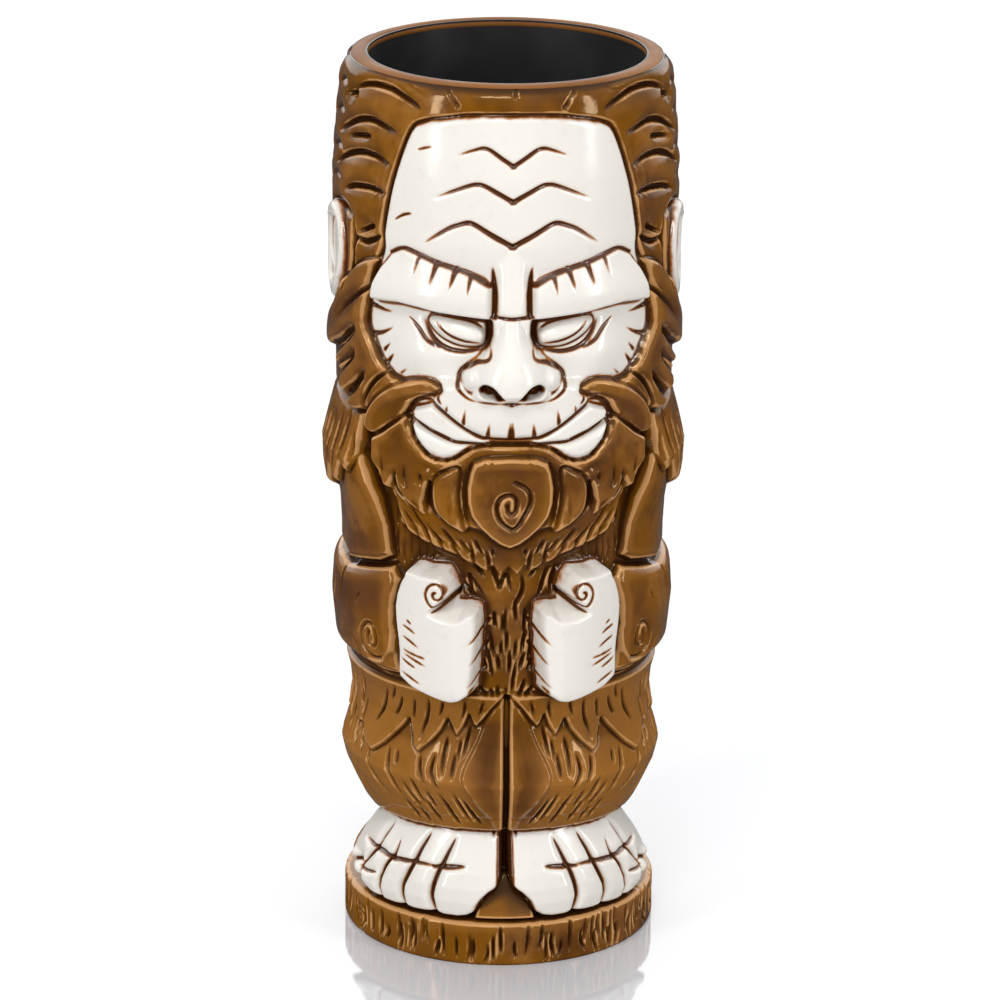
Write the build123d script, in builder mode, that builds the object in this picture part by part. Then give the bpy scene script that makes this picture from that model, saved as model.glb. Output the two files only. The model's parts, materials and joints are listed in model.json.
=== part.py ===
"""Slip-cast ceramic tiki mug in the shape of a bearded, furry wild man standing on a round plinth.

Millimetres, +Z up, the figure faces -Y. The origin is the centre of the foot ring, on the table.
The clay cup is turned about Z. Every sculpted mass is cut from a turned envelope by its outline as
seen from the front, and sits on the mass below it.
"""

import os
from math import hypot

from build123d import *

# ---- driving dimensions -------------------------------------------------------------------------
HEIGHT = 180.0
RIM_HEIGHT = 3.0
RIM_RADIUS = 32.3
MOUTH_RADIUS = 27.3  # inside the glaze
GLAZE = 0.5
BASE_RADIUS = 31.5
BASE_HEIGHT = 9.0
FOOT_RECESS = 2.0
FLOOR = 4.0
WELL_RADIUS = 23.0
ANKLE_HEIGHT = 24.0
ANKLE_RADIUS = 24.6
KNEE_HEIGHT = 38.0
KNEE_RADIUS = 32.0
HIP_HEIGHT = 57.0
SHOULDER_HEIGHT = 112.0
LEG_GAP = 0.5
ARM_BACK = 14.0
HAIR_BACK = 12.0
SIDEBURN_BACK = -2.0
REACH = 60.0  # longer than any relief stands out from the axis

RIM_BASE = HEIGHT - RIM_HEIGHT
WALL_BASE = 30.0
FACE_RADIUS = 33.3
BEARD_RADIUS = 34.2
CHEST_RADIUS = 30.6

# ---- outlines of the masses, seen from the front: x from the middle line, z from the table ------
# The masses on the middle line are given by their right half, from the top round to the bottom.
FACE = [(0, 175), (12, 174.3), (18.5, 171.7), (20.5, 167.5), (22.5, 159.5), (23.8, 150.5)]
FACE += [(24.6, 146), (27.2, 140), (27.6, 133), (27, 129), (24.8, 124.3), (22.5, 121)]
FACE += [(18, 118.5), (16.5, 110), (0, 109)]
BRIDGE = [(0, 147), (3.2, 146), (3.4, 136.6), (0, 136.6)]
NOSE = [(0, 136.4), (3.4, 136.4), (4.6, 130), (7.5, 128.5), (9.6, 125), (9.2, 122.3), (6, 120.6)]
NOSE += [(0, 119.8)]
MUZZLE = [(0, 123), (9.8, 122.8), (12.6, 121.1), (15.2, 117.9), (10, 114.6), (5.5, 111.8), (0, 111.2)]
BEARD = [(0, 109.2), (7, 108.5), (12.5, 106), (16.8, 107.8), (20, 113.5), (24, 115), (31, 112.4)]
BEARD += [(30, 106), (28, 100.5), (25.5, 97.5), (17.5, 91.5), (9, 86.5), (0, 82)]
CHIN = [(0, 107.8), (6, 107.9), (8.8, 106.5), (9.5, 101.5), (8.3, 96), (4.5, 92), (0, 89.6)]
CHEST = [(0, 104), (23.5, 104), (23.5, 82), (22.5, HIP_HEIGHT), (0, HIP_HEIGHT)]

# The masses that come in pairs are given on the +X side.
BROW = [(3.9, 142.3), (9, 144.8), (14, 146), (20, 148), (24, 146.5), (26.3, 141), (27, 136.8), (4.1, 136)]
EYELID = [(5.3, 131.2), (6.8, 129.4), (11, 128.8), (14.5, 131.3), (16, 134.6), (13, 135.7), (6, 135.3)]
UPPER_LIP = [(3.5, 110.6), (5.5, 111.3), (10, 114.1), (15.3, 117.3), (19.4, 114.9), (10.5, 110.4)]
LOWER_LIP = [(19.3, 114.2), (18.2, 111.3), (16.2, 108.2), (12.5, 106.4), (9.5, 107), (4.8, 109.5)]
LOWER_LIP += [(10.5, 110)]
MOUSTACHE = [(12.8, 121.6), (18, 121.5), (23, 120.7), (27, 117.2), (31, 112.6), (24, 115.2), (19.8, 115.4)]
MOUSTACHE += [(15.8, 118.2)]
SIDEBURN = [(24.8, 146), (28.5, 145.2), (32.9, 138), (34.6, 131), (38, 131), (38, 112.8), (31.4, 112.8)]
SIDEBURN += [(27.2, 117.5), (22.8, 121), (25, 124.3), (27.2, 129), (27.8, 133), (27.4, 140)]
BEARD_LOCK = [(9.2, 107), (12.3, 105), (12, 99), (9.5, 94.6), (6.5, 92.4), (8.6, 96), (9.8, 101.5)]
HAIR_SIDE = [(0, RIM_BASE), (38, RIM_BASE), (38, 131.2), (34.75, 131.2), (33.1, 138.1), (28.6, 145.5)]
HAIR_SIDE += [(24.9, 146.2), (0, 146.2)]
UPPER_ARM = [(23.7, 83.6), (25, 97), (28.2, 100.5), (30.2, 106), (31.4, 112), (38, 112), (38, 81)]
UPPER_ARM += [(31.5, 81)]
FOREARM = [(22, 83.2), (23.6, 83.3), (31.5, 80.7), (38, 80.7), (38, HIP_HEIGHT), (22, HIP_HEIGHT)]
HAND = [(22.3, 75), (21.6, 79), (11.8, 79), (4, 78.4), (4.3, 70), (5, 60.5), (9.5, 57.6), (20, 60.5)]
HAND += [(21.6, 67)]
THUMB = [(21.4, 79.4), (20, 84.8), (17.5, 86.3), (13, 86.3), (11.6, 83.5), (11.2, 79.4)]
LEG = [(LEG_GAP, HIP_HEIGHT), (38, HIP_HEIGHT), (38, ANKLE_HEIGHT), (LEG_GAP, ANKLE_HEIGHT)]
BACK = [(-38, SHOULDER_HEIGHT), (38, SHOULDER_HEIGHT), (38, HIP_HEIGHT), (-38, HIP_HEIGHT)]
HAIR_BELOW = [(0, 146.2), (38, 146.2), (38, SHOULDER_HEIGHT), (0, SHOULDER_HEIGHT)]
HAIR_TAIL = [(-38, RIM_BASE), (38, RIM_BASE), (38, SHOULDER_HEIGHT), (-38, SHOULDER_HEIGHT)]

EAR_Y = -2.0
EAR_Z = 141.0
EAR_WIDTH = 15.0
EAR_HEIGHT = 21.0
EAR_REACH = 36.2

HAND_FRONT = 38.5
THUMB_FRONT = 37.2
KNUCKLE_CHAMFER = 1.4
NOSE_FRONT = 40.5
NOSE_TAPER = 9.0

TOE_TOP = 20.5
TOE_BACK = 27.5
TOE_FRONT = 31.0
TOE_ROUND = 1.2
TOE_STARTS = [8.5, 23.5, 34.5, 46.0, 58.5]
TOE_ENDS = [22.9, 33.9, 45.4, 57.9, 71.0]
FOOT_START = 2.0
FOOT_END = 88.0
HEEL_START = 100.0
HEEL_END = 176.0

SIDES = {"right": 1, "left": -1}


# ---- helpers ------------------------------------------------------------------------------------
def both_halves(half):
    """The whole outline of a mass on the middle line."""
    left = [(-x, z) for x, z in reversed(half) if x > 0]
    return half + left


def on_side(points, side):
    return [(side * x, z) for x, z in points]


def turned(profile, start=0.0, arc=360.0):
    """A solid of revolution of (radius, height) points. Angles run from the front towards +X."""
    radial = Vector(0, -1, 0).rotate(Axis.Z, start)
    plane = Plane(origin=(0, 0, 0), x_dir=radial, z_dir=radial.cross(Vector(0, 0, 1)))
    with BuildPart() as solid:
        with BuildSketch(plane):
            with BuildLine():
                Polyline(*profile, close=True)
            make_face()
        revolve(axis=Axis.Z, revolution_arc=arc)
    return solid.part


def relief(outline, envelope, under, back=0.0, front=REACH):
    """The envelope inside an outline seen from the front, less what lies under it."""
    with BuildPart() as mass:
        with BuildSketch(Plane.XZ.offset(-back)):
            with BuildLine():
                Polyline(*outline, close=True)
            make_face()
        extrude(amount=back + front)
        add(envelope, mode=Mode.INTERSECT)
        for solid in under:
            add(solid, mode=Mode.SUBTRACT)
    return mass.part


def solid_of(profile):
    """Closes a (radius, height) outer profile to the axis and turns it."""
    return turned([(0, profile[0][1]), *profile, (0, profile[-1][1])])


def save(part, label):
    part.label = label
    export_step(part, f"parts/{label}.step")


os.makedirs("parts", exist_ok=True)

# ---- turned envelopes ---------------------------------------------------------------------------
WALL_OUTER = [(WELL_RADIUS, FOOT_RECESS), (WELL_RADIUS, ANKLE_HEIGHT), (28, 37), (28, 98)]
WALL_OUTER += [(WALL_BASE, SHOULDER_HEIGHT), (WALL_BASE, RIM_BASE)]
WALL_INNER = [(19.5, FOOT_RECESS + FLOOR), (19.5, 22), (25.2, 37), (25.2, 98), (27.8, SHOULDER_HEIGHT)]
WALL_INNER += [(27.8, HEIGHT)]
LINER_INNER = [(r - GLAZE, max(z, FOOT_RECESS + FLOOR + GLAZE)) for r, z in WALL_INNER]

core = solid_of(WALL_OUTER)
head = solid_of([(33.4, 104), (33.6, 134), (34.2, 158), (33.6, 170), (RIM_RADIUS, RIM_BASE)])
face_envelope = solid_of([(FACE_RADIUS, 104), (FACE_RADIUS, 168), (RIM_RADIUS, RIM_BASE)])
beard_envelope = solid_of([(BEARD_RADIUS - 1.5, 80), (BEARD_RADIUS, 92), (BEARD_RADIUS, 120)])
ARM_PROFILE = [(31.5, HIP_HEIGHT), (34.3, 64), (34.6, 72), (33.2, 83), (33.6, 90), (36, 99), (36, 104)]
LEG_PROFILE = [(ANKLE_RADIUS, ANKLE_HEIGHT), (KNEE_RADIUS, KNEE_HEIGHT), (31, 50), (29.8, HIP_HEIGHT)]
arm_envelope = solid_of([*ARM_PROFILE, (33.5, SHOULDER_HEIGHT)])
leg_envelope = solid_of(LEG_PROFILE)


def drum(radius, low, high):
    """A plain cylindrical envelope between two heights."""
    return solid_of([(radius, low), (radius, high)])


# ---- the clay cup, its glaze lining, rim and plinth ---------------------------------------------
bore = solid_of(WALL_INNER)
cavity = solid_of(LINER_INNER)

with BuildPart() as cup_wall:
    add(core)
    add(bore, mode=Mode.SUBTRACT)
save(cup_wall.part, "cup_wall")

with BuildPart() as inner_glaze:
    add(bore)
    add(cavity, mode=Mode.SUBTRACT)
save(inner_glaze.part, "inner_glaze")

with BuildPart() as rim_lip:
    with BuildSketch(Plane.XY.offset(RIM_BASE)):
        Circle(RIM_RADIUS)
        Circle(MOUTH_RADIUS + GLAZE, mode=Mode.SUBTRACT)
    extrude(amount=RIM_HEIGHT)
    fillet(rim_lip.edges().group_by(Axis.Z)[-1].sort_by(SortBy.LENGTH)[-1], 1.6)
save(rim_lip.part, "rim_lip")

with BuildPart() as base_plinth:
    with BuildSketch():
        Circle(BASE_RADIUS)
        Circle(WELL_RADIUS, mode=Mode.SUBTRACT)
    extrude(amount=BASE_HEIGHT)
    fillet(base_plinth.edges().group_by(Axis.Z)[-1].sort_by(SortBy.LENGTH)[-1], 1.0)
    fillet(base_plinth.edges().group_by(Axis.Z)[0].sort_by(SortBy.LENGTH)[-1], 1.8)
save(base_plinth.part, "base_plinth")

# ---- face ---------------------------------------------------------------------------------------
face_plate = relief(both_halves(FACE), face_envelope, [core])
save(face_plate, "face_plate")

face_column = relief(both_halves(FACE), drum(REACH, 100, HEIGHT), [])
face_back = drum(FACE_RADIUS, 100, RIM_BASE)
with BuildPart() as nose:
    with BuildSketch(Plane.XZ.offset(FACE_RADIUS - 4)):
        with BuildLine():
            Polyline(*both_halves(NOSE), close=True)
        make_face()
    extrude(amount=NOSE_FRONT - FACE_RADIUS + 4, taper=NOSE_TAPER)
    add(face_back, mode=Mode.SUBTRACT)
save(nose.part, "nose")
save(relief(both_halves(BRIDGE), drum(36.0, 130, 150), [face_back]), "nose_bridge")
save(relief(both_halves(MUZZLE), drum(37.0, 105, 125), [face_back, nose.part]), "muzzle")

for name, side in SIDES.items():
    save(relief(on_side(BROW, side), drum(36.8, 130, 150), [face_back]), f"brow_{name}")
    save(relief(on_side(EYELID, side), drum(34.8, 125, 140), [face_back]), f"eyelid_{name}")
    save(relief(on_side(UPPER_LIP, side), drum(36.0, 105, 120), [face_back]), f"upper_lip_{name}")
    lower_lip_bed = [core, face_plate]
    save(relief(on_side(LOWER_LIP, side), drum(35.6, 104, 120), lower_lip_bed), f"lower_lip_{name}")

# ---- hair, ears and sideburns -------------------------------------------------------------------
for name, side in SIDES.items():
    temple = relief(on_side(HAIR_SIDE, side), head, [core, face_column], back=HAIR_BACK)
    behind_ear = relief(on_side(HAIR_BELOW, side), head, [core], back=HAIR_BACK, front=-SIDEBURN_BACK)
    with BuildPart() as hair:
        add(temple)
        add(behind_ear)
    save(hair.part, f"hair_{name}")
    sideburn = relief(on_side(SIDEBURN, side), drum(35.0, 100, 150), [core, face_column], SIDEBURN_BACK)
    save(sideburn, f"sideburn_{name}")
    in_front = relief(on_side(SIDEBURN, side), drum(REACH, 100, 150), [], SIDEBURN_BACK)
    with BuildPart() as ear:
        with BuildSketch(Plane.YZ.offset(side * 30)):
            with Locations((EAR_Y, EAR_Z)):
                Ellipse(EAR_WIDTH / 2, EAR_HEIGHT / 2)
        extrude(amount=side * (EAR_REACH - 30))
        add(head, mode=Mode.SUBTRACT)
        ear_rim = ear.faces().filter_by(Plane.YZ).sort_by(Axis.X)[-1 if side > 0 else 0].edges()
        chamfer(ear_rim, 0.6)
        add(in_front, mode=Mode.SUBTRACT)
    save(ear.part, f"ear_{name}")

# ---- beard --------------------------------------------------------------------------------------
lips = [relief(on_side(LOWER_LIP, side), drum(REACH, 104, 120), []) for side in SIDES.values()]
beard = relief(both_halves(BEARD), beard_envelope, [core, face_plate, *lips], SIDEBURN_BACK)
save(beard, "beard")
beard_back = drum(BEARD_RADIUS, 80, 120)
save(relief(both_halves(CHIN), drum(37.0, 85, 110), [beard_back]), "chin_tuft")
swoosh_envelope = drum(35.6, 100, 125)
for name, side in SIDES.items():
    under = [core, face_plate, beard]
    save(relief(on_side(MOUSTACHE, side), swoosh_envelope, under, SIDEBURN_BACK), f"moustache_{name}")
    save(relief(on_side(BEARD_LOCK, side), drum(35.8, 85, 110), [beard_back]), f"beard_lock_{name}")

# ---- arms, hands and trunk ----------------------------------------------------------------------
chest_envelope = drum(CHEST_RADIUS, HIP_HEIGHT, 104)
chest_block = relief(both_halves(CHEST), chest_envelope, [core])
chest_fur = relief(both_halves(CHEST), chest_envelope, [core, beard])
save(chest_fur, "chest_fur")


def fist_block(outline, front):
    """A flat-fronted block standing out of the belly, its front edges broken."""
    with BuildPart() as block:
        with BuildSketch(Plane.XZ.offset(20)):
            with BuildLine():
                Polyline(*outline, close=True)
            make_face()
        extrude(amount=front - 20)
        chamfer(block.faces().sort_by(Axis.Y)[0].edges(), KNUCKLE_CHAMFER)
        add(chest_envelope, mode=Mode.SUBTRACT)
    return block.part


for name, side in SIDES.items():
    hand = fist_block(on_side(HAND, side), HAND_FRONT)
    thumb = fist_block(on_side(THUMB, side), THUMB_FRONT)
    save(hand, f"hand_{name}")
    save(thumb, f"thumb_{name}")
    arm_bed = [core, chest_block, beard]
    save(relief(on_side(UPPER_ARM, side), arm_envelope, arm_bed, back=ARM_BACK), f"upper_arm_{name}")
    arm_bed = [core, chest_block, hand, thumb]
    save(relief(on_side(FOREARM, side), arm_envelope, arm_bed, back=ARM_BACK), f"forearm_{name}")
save(relief(BACK, drum(32.0, HIP_HEIGHT, SHOULDER_HEIGHT), [core], back=REACH, front=-ARM_BACK), "back_fur")
save(relief(HAIR_TAIL, head, [core], back=REACH, front=-HAIR_BACK), "hair_back")

# ---- legs and feet ------------------------------------------------------------------------------
INSTEP = [(WELL_RADIUS, BASE_HEIGHT), (TOE_BACK, BASE_HEIGHT), (TOE_BACK, 21), (WELL_RADIUS, ANKLE_HEIGHT)]
HEEL = [(WELL_RADIUS, BASE_HEIGHT), (28.5, BASE_HEIGHT), (28.5, 15), (25, ANKLE_HEIGHT)]
HEEL += [(WELL_RADIUS, ANKLE_HEIGHT)]
TOE = [(TOE_BACK, BASE_HEIGHT), (TOE_FRONT, BASE_HEIGHT), (TOE_FRONT, 17.5), (TOE_BACK, TOE_TOP)]


def toe_block(start, end):
    """One toe, rounded along its front edges."""
    block = turned(TOE, start, end - start)
    with BuildPart() as toe:
        add(block)
        middles = [(edge, edge @ 0.5) for edge in toe.edges()]
        front = [e for e, p in middles if hypot(p.X, p.Y) > TOE_FRONT - 2.2 and p.Z > BASE_HEIGHT + 1]
        fillet(front, TOE_ROUND)
    return toe.part


for name, side in SIDES.items():
    save(relief(on_side(LEG, side), leg_envelope, [core], back=REACH), f"leg_{name}")
    foot_start = FOOT_START if side > 0 else -FOOT_END
    save(turned(INSTEP, foot_start, FOOT_END - FOOT_START), f"foot_{name}")
    heel_start = HEEL_START if side > 0 else -HEEL_END
    save(turned(HEEL, heel_start, HEEL_END - HEEL_START), f"heel_{name}")
    spans = zip(TOE_STARTS, TOE_ENDS)
    blocks = [toe_block(start, end) if side > 0 else toe_block(-end, -start) for start, end in spans]
    with BuildPart() as toes:
        for block in blocks:
            add(block)
    save(toes.part, f"toes_{name}")
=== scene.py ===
"""A slip-cast tiki mug: a bearded, furry wild man in brown and white glaze, black inside.

The CAD nodes give each mass its place and size. Here the whole outside is one relief, a radius over
angle and height, sculpted in millimetres: each mass is raised inside its outline, then fur, wrinkles
and spirals are carved into it. The relief is cut along the outlines into one closed mesh per node.
"""
import json

import bpy
import numpy as np
from mathutils import Matrix, Vector


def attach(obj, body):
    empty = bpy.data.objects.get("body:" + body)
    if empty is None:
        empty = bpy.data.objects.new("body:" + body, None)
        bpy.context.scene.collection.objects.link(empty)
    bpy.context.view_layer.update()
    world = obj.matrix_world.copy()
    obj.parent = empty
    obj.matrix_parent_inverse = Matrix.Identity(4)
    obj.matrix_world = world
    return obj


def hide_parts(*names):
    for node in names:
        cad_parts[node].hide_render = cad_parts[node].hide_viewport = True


MM = 0.001
SIDES = {"right": 1, "left": -1}

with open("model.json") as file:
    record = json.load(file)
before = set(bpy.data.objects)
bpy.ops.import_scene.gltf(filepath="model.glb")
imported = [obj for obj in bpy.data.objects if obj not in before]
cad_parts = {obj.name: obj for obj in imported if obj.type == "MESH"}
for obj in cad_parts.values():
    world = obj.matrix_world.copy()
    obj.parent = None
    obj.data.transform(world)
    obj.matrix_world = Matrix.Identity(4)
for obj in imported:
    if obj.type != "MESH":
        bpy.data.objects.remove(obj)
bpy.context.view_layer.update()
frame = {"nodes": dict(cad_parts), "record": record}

# ---- sizes, in millimetres ----------------------------------------------------------------------
TOP = 179.7  # where the fur ends and the rim's own glaze begins
MOUTH_RADIUS = 27.3
PLINTH_TOP = 9.0
PLINTH_RADIUS = 31.5
HEAD_BASE = 112.0
WAIST = 57.0
ARC_RADIUS = 34.0  # lengths along the surface are measured at this radius
SEEN_RADIUS = 34.5  # the radius at which the front view's heights were read
EYE_HEIGHT = 405.8
EYE_DISTANCE = 970.0
FINE_STEP = 0.25
COARSE_STEP = 0.45
BAND_STEP = 0.12
FINE_BANDS = [(8.2, 11.2), (74.4, 78.6), (83.0, 85.4), (178.0, 179.7)]
GLAZE_SOFTNESS = 0.22
GROOVE_WIDTH = 0.3

HEAD = [
    (112, 33.3), (134, 33.6), (146, 34.0), (158, 34.2), (166, 33.6), (174, 33.0), (177.0, 32.5),
    (178.2, 32.1), (179.0, 31.5), (179.45, 30.95), (179.7, 30.4),
]
TRUNK = [(57, 30.6), (104, 30.6), (112, 32.0)]
LEGS = [
    (23.5, 25.0), (27.5, 27.9), (31, 29.6), (35, 31.4), (38.4, 32.2), (42, 31.2), (46, 29.8), (50, 29.2),
    (54, 29.6), (57, 30.4),
]
BACKING = [(0, 23), (24, 23), (37, 28), (98, 28), (112, 30), (180, 30)]


# ---- curves -------------------------------------------------------------------------------------
def smooth_step(t):
    t = np.clip(t, 0.0, 1.0)
    return t * t * (3 - 2 * t)


def along(profile, z):
    """The radius that a list of (height, radius) points gives at z."""
    heights, radii = zip(*profile)
    return np.interp(z, heights, radii)


def seen(radius, *points):
    """Points read off the front view, as (arc, height) on a surface of that radius."""
    x, z = np.array(points, float).T
    x = np.clip(x, -0.999 * radius, 0.999 * radius)
    nearer = np.sqrt(radius**2 - x**2) - np.sqrt(np.maximum(SEEN_RADIUS**2 - x**2, 0))
    return np.stack([ARC_RADIUS * np.arcsin(x / radius), z + nearer * (EYE_HEIGHT - z) / EYE_DISTANCE], 1)


def round_arc(degrees, z):
    """A point given by its angle from the front."""
    return ARC_RADIUS * np.radians(degrees), z


def spline(points, closed=False, steps=5):
    """A curve through the points. A point given twice makes a corner."""
    p = np.asarray(points, float)
    if closed:
        p = np.vstack([p[-1:], p, p[:2]])
    else:
        p = np.vstack([2 * p[0] - p[1], p, 2 * p[-1] - p[-2]])
    a, b, c, d = p[:-3, None], p[1:-2, None], p[2:-1, None], p[3:, None]
    t = np.linspace(0, 1, steps, endpoint=False)[None, :, None]
    q = 0.5 * (2 * b + (c - a) * t + (2 * a - 5 * b + 4 * c - d) * t**2 + (3 * b - a - 3 * c + d) * t**3)
    q = q.reshape(-1, 2)
    return q if closed else np.vstack([q, p[-2:-1]])


def mirror(points):
    return np.asarray(points, float)[::-1] * (-1, 1)


def both(half):
    """The whole closed outline of a mass on the middle line, from its +X half."""
    half = np.asarray(half, float)
    return np.vstack([half, mirror(half)])


def sided(points, side):
    points = np.asarray(points, float)
    return points if side > 0 else points * (-1, 1)


# ---- the relief ---------------------------------------------------------------------------------
def angle_columns():
    """Angles round the mug from the front, fine in front and coarser behind."""
    half = [0.0]
    while half[-1] < np.pi:
        behind = smooth_step((half[-1] - np.radians(95)) / np.radians(25))
        half.append(half[-1] + (FINE_STEP + (COARSE_STEP - FINE_STEP) * behind) / ARC_RADIUS)
    half = np.array(half) * np.pi / half[-1]
    return np.concatenate([-half[-2:0:-1], half])


def height_rows():
    rows = [0.0]
    while rows[-1] < TOP:
        fine = any(low <= rows[-1] < high for low, high in FINE_BANDS)
        rows.append(rows[-1] + (BAND_STEP if fine else FINE_STEP))
    return np.array(rows) * TOP / rows[-1]


ANGLE = angle_columns()
S = ARC_RADIUS * ANGLE[None, :]
Z = height_rows()[:, None]
ROUND = 2 * np.pi * ARC_RADIUS
SHAPE = (Z.size, S.size)
NODES = sorted(frame["nodes"])
LABEL = {name: k for k, name in enumerate(NODES)}

radius = np.zeros(SHAPE)
label = np.zeros(SHAPE, int)
cut = np.zeros(SHAPE)
ridge = np.zeros(SHAPE)
ink = np.zeros(SHAPE)
dip = np.zeros(SHAPE)


def windows(low, high):
    """The parts of the grid that a box of (arc, height) covers, each with its own coordinates."""
    for turn in (-ROUND, 0.0, ROUND):
        s = S[0] + turn
        columns = slice(*np.searchsorted(s, (low[0], high[0])))
        rows = slice(*np.searchsorted(Z[:, 0], (low[1], high[1])))
        if columns.stop > columns.start and rows.stop > rows.start:
            yield (rows, columns), s[None, columns], Z[rows]


def inside_distance(outline, s, z):
    """The distance to a closed outline, positive inside it."""
    nearest = np.full(np.broadcast_shapes(s.shape, z.shape), np.inf)
    inside = np.zeros(nearest.shape, bool)
    for (s0, z0), (s1, z1) in zip(outline, np.roll(outline, -1, 0)):
        ds, dz = s1 - s0, z1 - z0
        t = np.clip(((s - s0) * ds + (z - z0) * dz) / (ds * ds + dz * dz + 1e-12), 0, 1)
        nearest = np.minimum(nearest, (s - s0 - t * ds) ** 2 + (z - z0 - t * dz) ** 2)
        if z0 != z1:
            inside ^= ((z0 > z) != (z1 > z)) & (s < s0 + (z - z0) * ds / dz)
    return np.where(inside, 1, -1) * np.sqrt(nearest)


def belongs(here, names):
    """Where a part of the grid belongs to one of the named pieces. None stands for all of them."""
    return True if names is None else np.isin(label[here], [LABEL[n] for n in names])


def raise_mass(name, outline, top, wall=0.6, edge=1.0, groove=0.0, over=None, foot=0.5, skirt=0.0):
    """Sets the relief inside an outline to top, a radius or a function of (arc, height, depth inside).

    wall is how wide its side spreads and foot the share of it outside the outline, edge how far in its
    top rounds off, and groove how deep a line is drawn round it. skirt widens the piece over the
    ground round its foot. With over, it only changes the pieces named there."""
    outline = np.asarray(outline, float)
    margin = wall + 2.0
    for here, s, z in windows(outline.min(0) - margin, outline.max(0) + margin):
        depth = inside_distance(outline, s, z)
        height = top(s, z, depth) if callable(top) else top
        height = height - rounded(depth, edge)
        allowed = belongs(here, over)
        share = smooth_step(foot + depth / wall) * allowed
        radius[here] = radius[here] * (1 - share) + height * share
        if name is not None:
            label[here] = np.where((depth > -skirt) & allowed, LABEL[name], label[here])
        for field in (cut, ink, dip, ridge):
            field[here] *= 1 - share
        if groove:
            cut[here] = np.maximum(cut[here], groove * np.exp(-((depth / GROOVE_WIDTH) ** 2)))


def rounded(depth, edge):
    """How much lower a top is near its outline, for a quarter-round of radius edge."""
    if edge <= 0:
        return 0.0
    t = 1 - np.clip(depth / edge, 0, 1)
    return edge * (1 - np.sqrt(np.maximum(1 - t * t, 0)))


def line_distance(line, s, z):
    """The distance to an open line, and how far along it the nearest point is, 0 to 1."""
    pieces = np.diff(line, axis=0)
    lengths = np.hypot(*pieces.T)
    starts = np.concatenate([[0], np.cumsum(lengths)])
    best = np.full(np.broadcast_shapes(s.shape, z.shape), np.inf)
    where = np.zeros(best.shape)
    for (s0, z0), (ds, dz), length, start in zip(line[:-1], pieces, lengths, starts):
        t = np.clip(((s - s0) * ds + (z - z0) * dz) / (length**2 + 1e-12), 0, 1)
        d = (s - s0 - t * ds) ** 2 + (z - z0 - t * dz) ** 2
        closer = d < best
        best = np.where(closer, d, best)
        where = np.where(closer, (start + t * length) / starts[-1], where)
    return np.sqrt(best), where


def relabel(name, outline, over):
    """Gives the inside of an outline to another piece and leaves its shape alone."""
    outline = np.asarray(outline, float)
    for here, s, z in windows(outline.min(0), outline.max(0)):
        inside = (inside_distance(outline, s, z) > 0) & belongs(here, over)
        label[here] = np.where(inside, LABEL[name], label[here])


TAPERS = {
    "both": lambda t: np.clip(4 * t * (1 - t), 0, 1) ** 0.45,
    "tip": lambda t: np.clip(1 - t, 0, 1) ** 0.7,
    "start": lambda t: np.clip(t, 0, 1) ** 0.7,
    "none": lambda t: np.ones_like(t),
}


def as_curve(line):
    return spline(line) if len(line) > 2 else np.asarray(line, float)


def carve(line, width=0.5, depth=0.5, taper="both", only=None):
    """Cuts a groove along a line, or with a negative depth raises a bead. width is its half-width."""
    line = as_curve(line)
    field = cut if depth > 0 else ridge
    for here, s, z in windows(line.min(0) - width - 0.3, line.max(0) + width + 0.3):
        distance, t = line_distance(line, s, z)
        size = TAPERS[taper](t)
        shape = np.clip(1 - (distance / (width * size + 1e-6)) ** 2, 0, 1) * belongs(here, only)
        field[here] = np.maximum(field[here], abs(depth) * size * shape)
        if depth > 0:
            ink[here] = np.maximum(ink[here], shape * size**0.5)


def fold(line, reach, depth, only=None):
    """Rolls the surface down towards a line from both sides."""
    line = as_curve(line)
    for here, s, z in windows(line.min(0) - reach, line.max(0) + reach):
        distance, t = line_distance(line, s, z)
        size = TAPERS["both"](0.04 + 0.92 * t)
        mark = depth * size * np.clip(1 - distance / (reach * size + 1e-6), 0, 1) ** 2
        dip[here] = np.maximum(dip[here], mark * belongs(here, only))


def tuft(line, roll, width, depth, taper="both", only=None):
    """A stroke of fur: a carved line that the surface rolls down to. roll is how far and how deep."""
    fold(line, *roll, only)
    carve(line, width, depth, taper, only)


def on_side(at, points, side):
    """Points read off the front view, for the surface of radius at, taken to that side."""
    return sided(seen(at, *points), side)


def carve_lines(lines, side, only=None):
    """Carves (radius, points, width, depth, taper) lines on one side."""
    for at, points, width, depth, taper in lines:
        carve(on_side(at, points, side), width, depth, taper, only)


# ---- the mug's masses ---------------------------------------------------------------------------
degrees = np.degrees(ANGLE)[None, :]
HAIR = ["hair_left", "hair_right", "hair_back"]


def by_side(name):
    """The label of the left or the right piece of that name, by the side of each column."""
    return np.where(degrees > 0, LABEL[f"{name}_right"], LABEL[f"{name}_left"])


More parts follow.
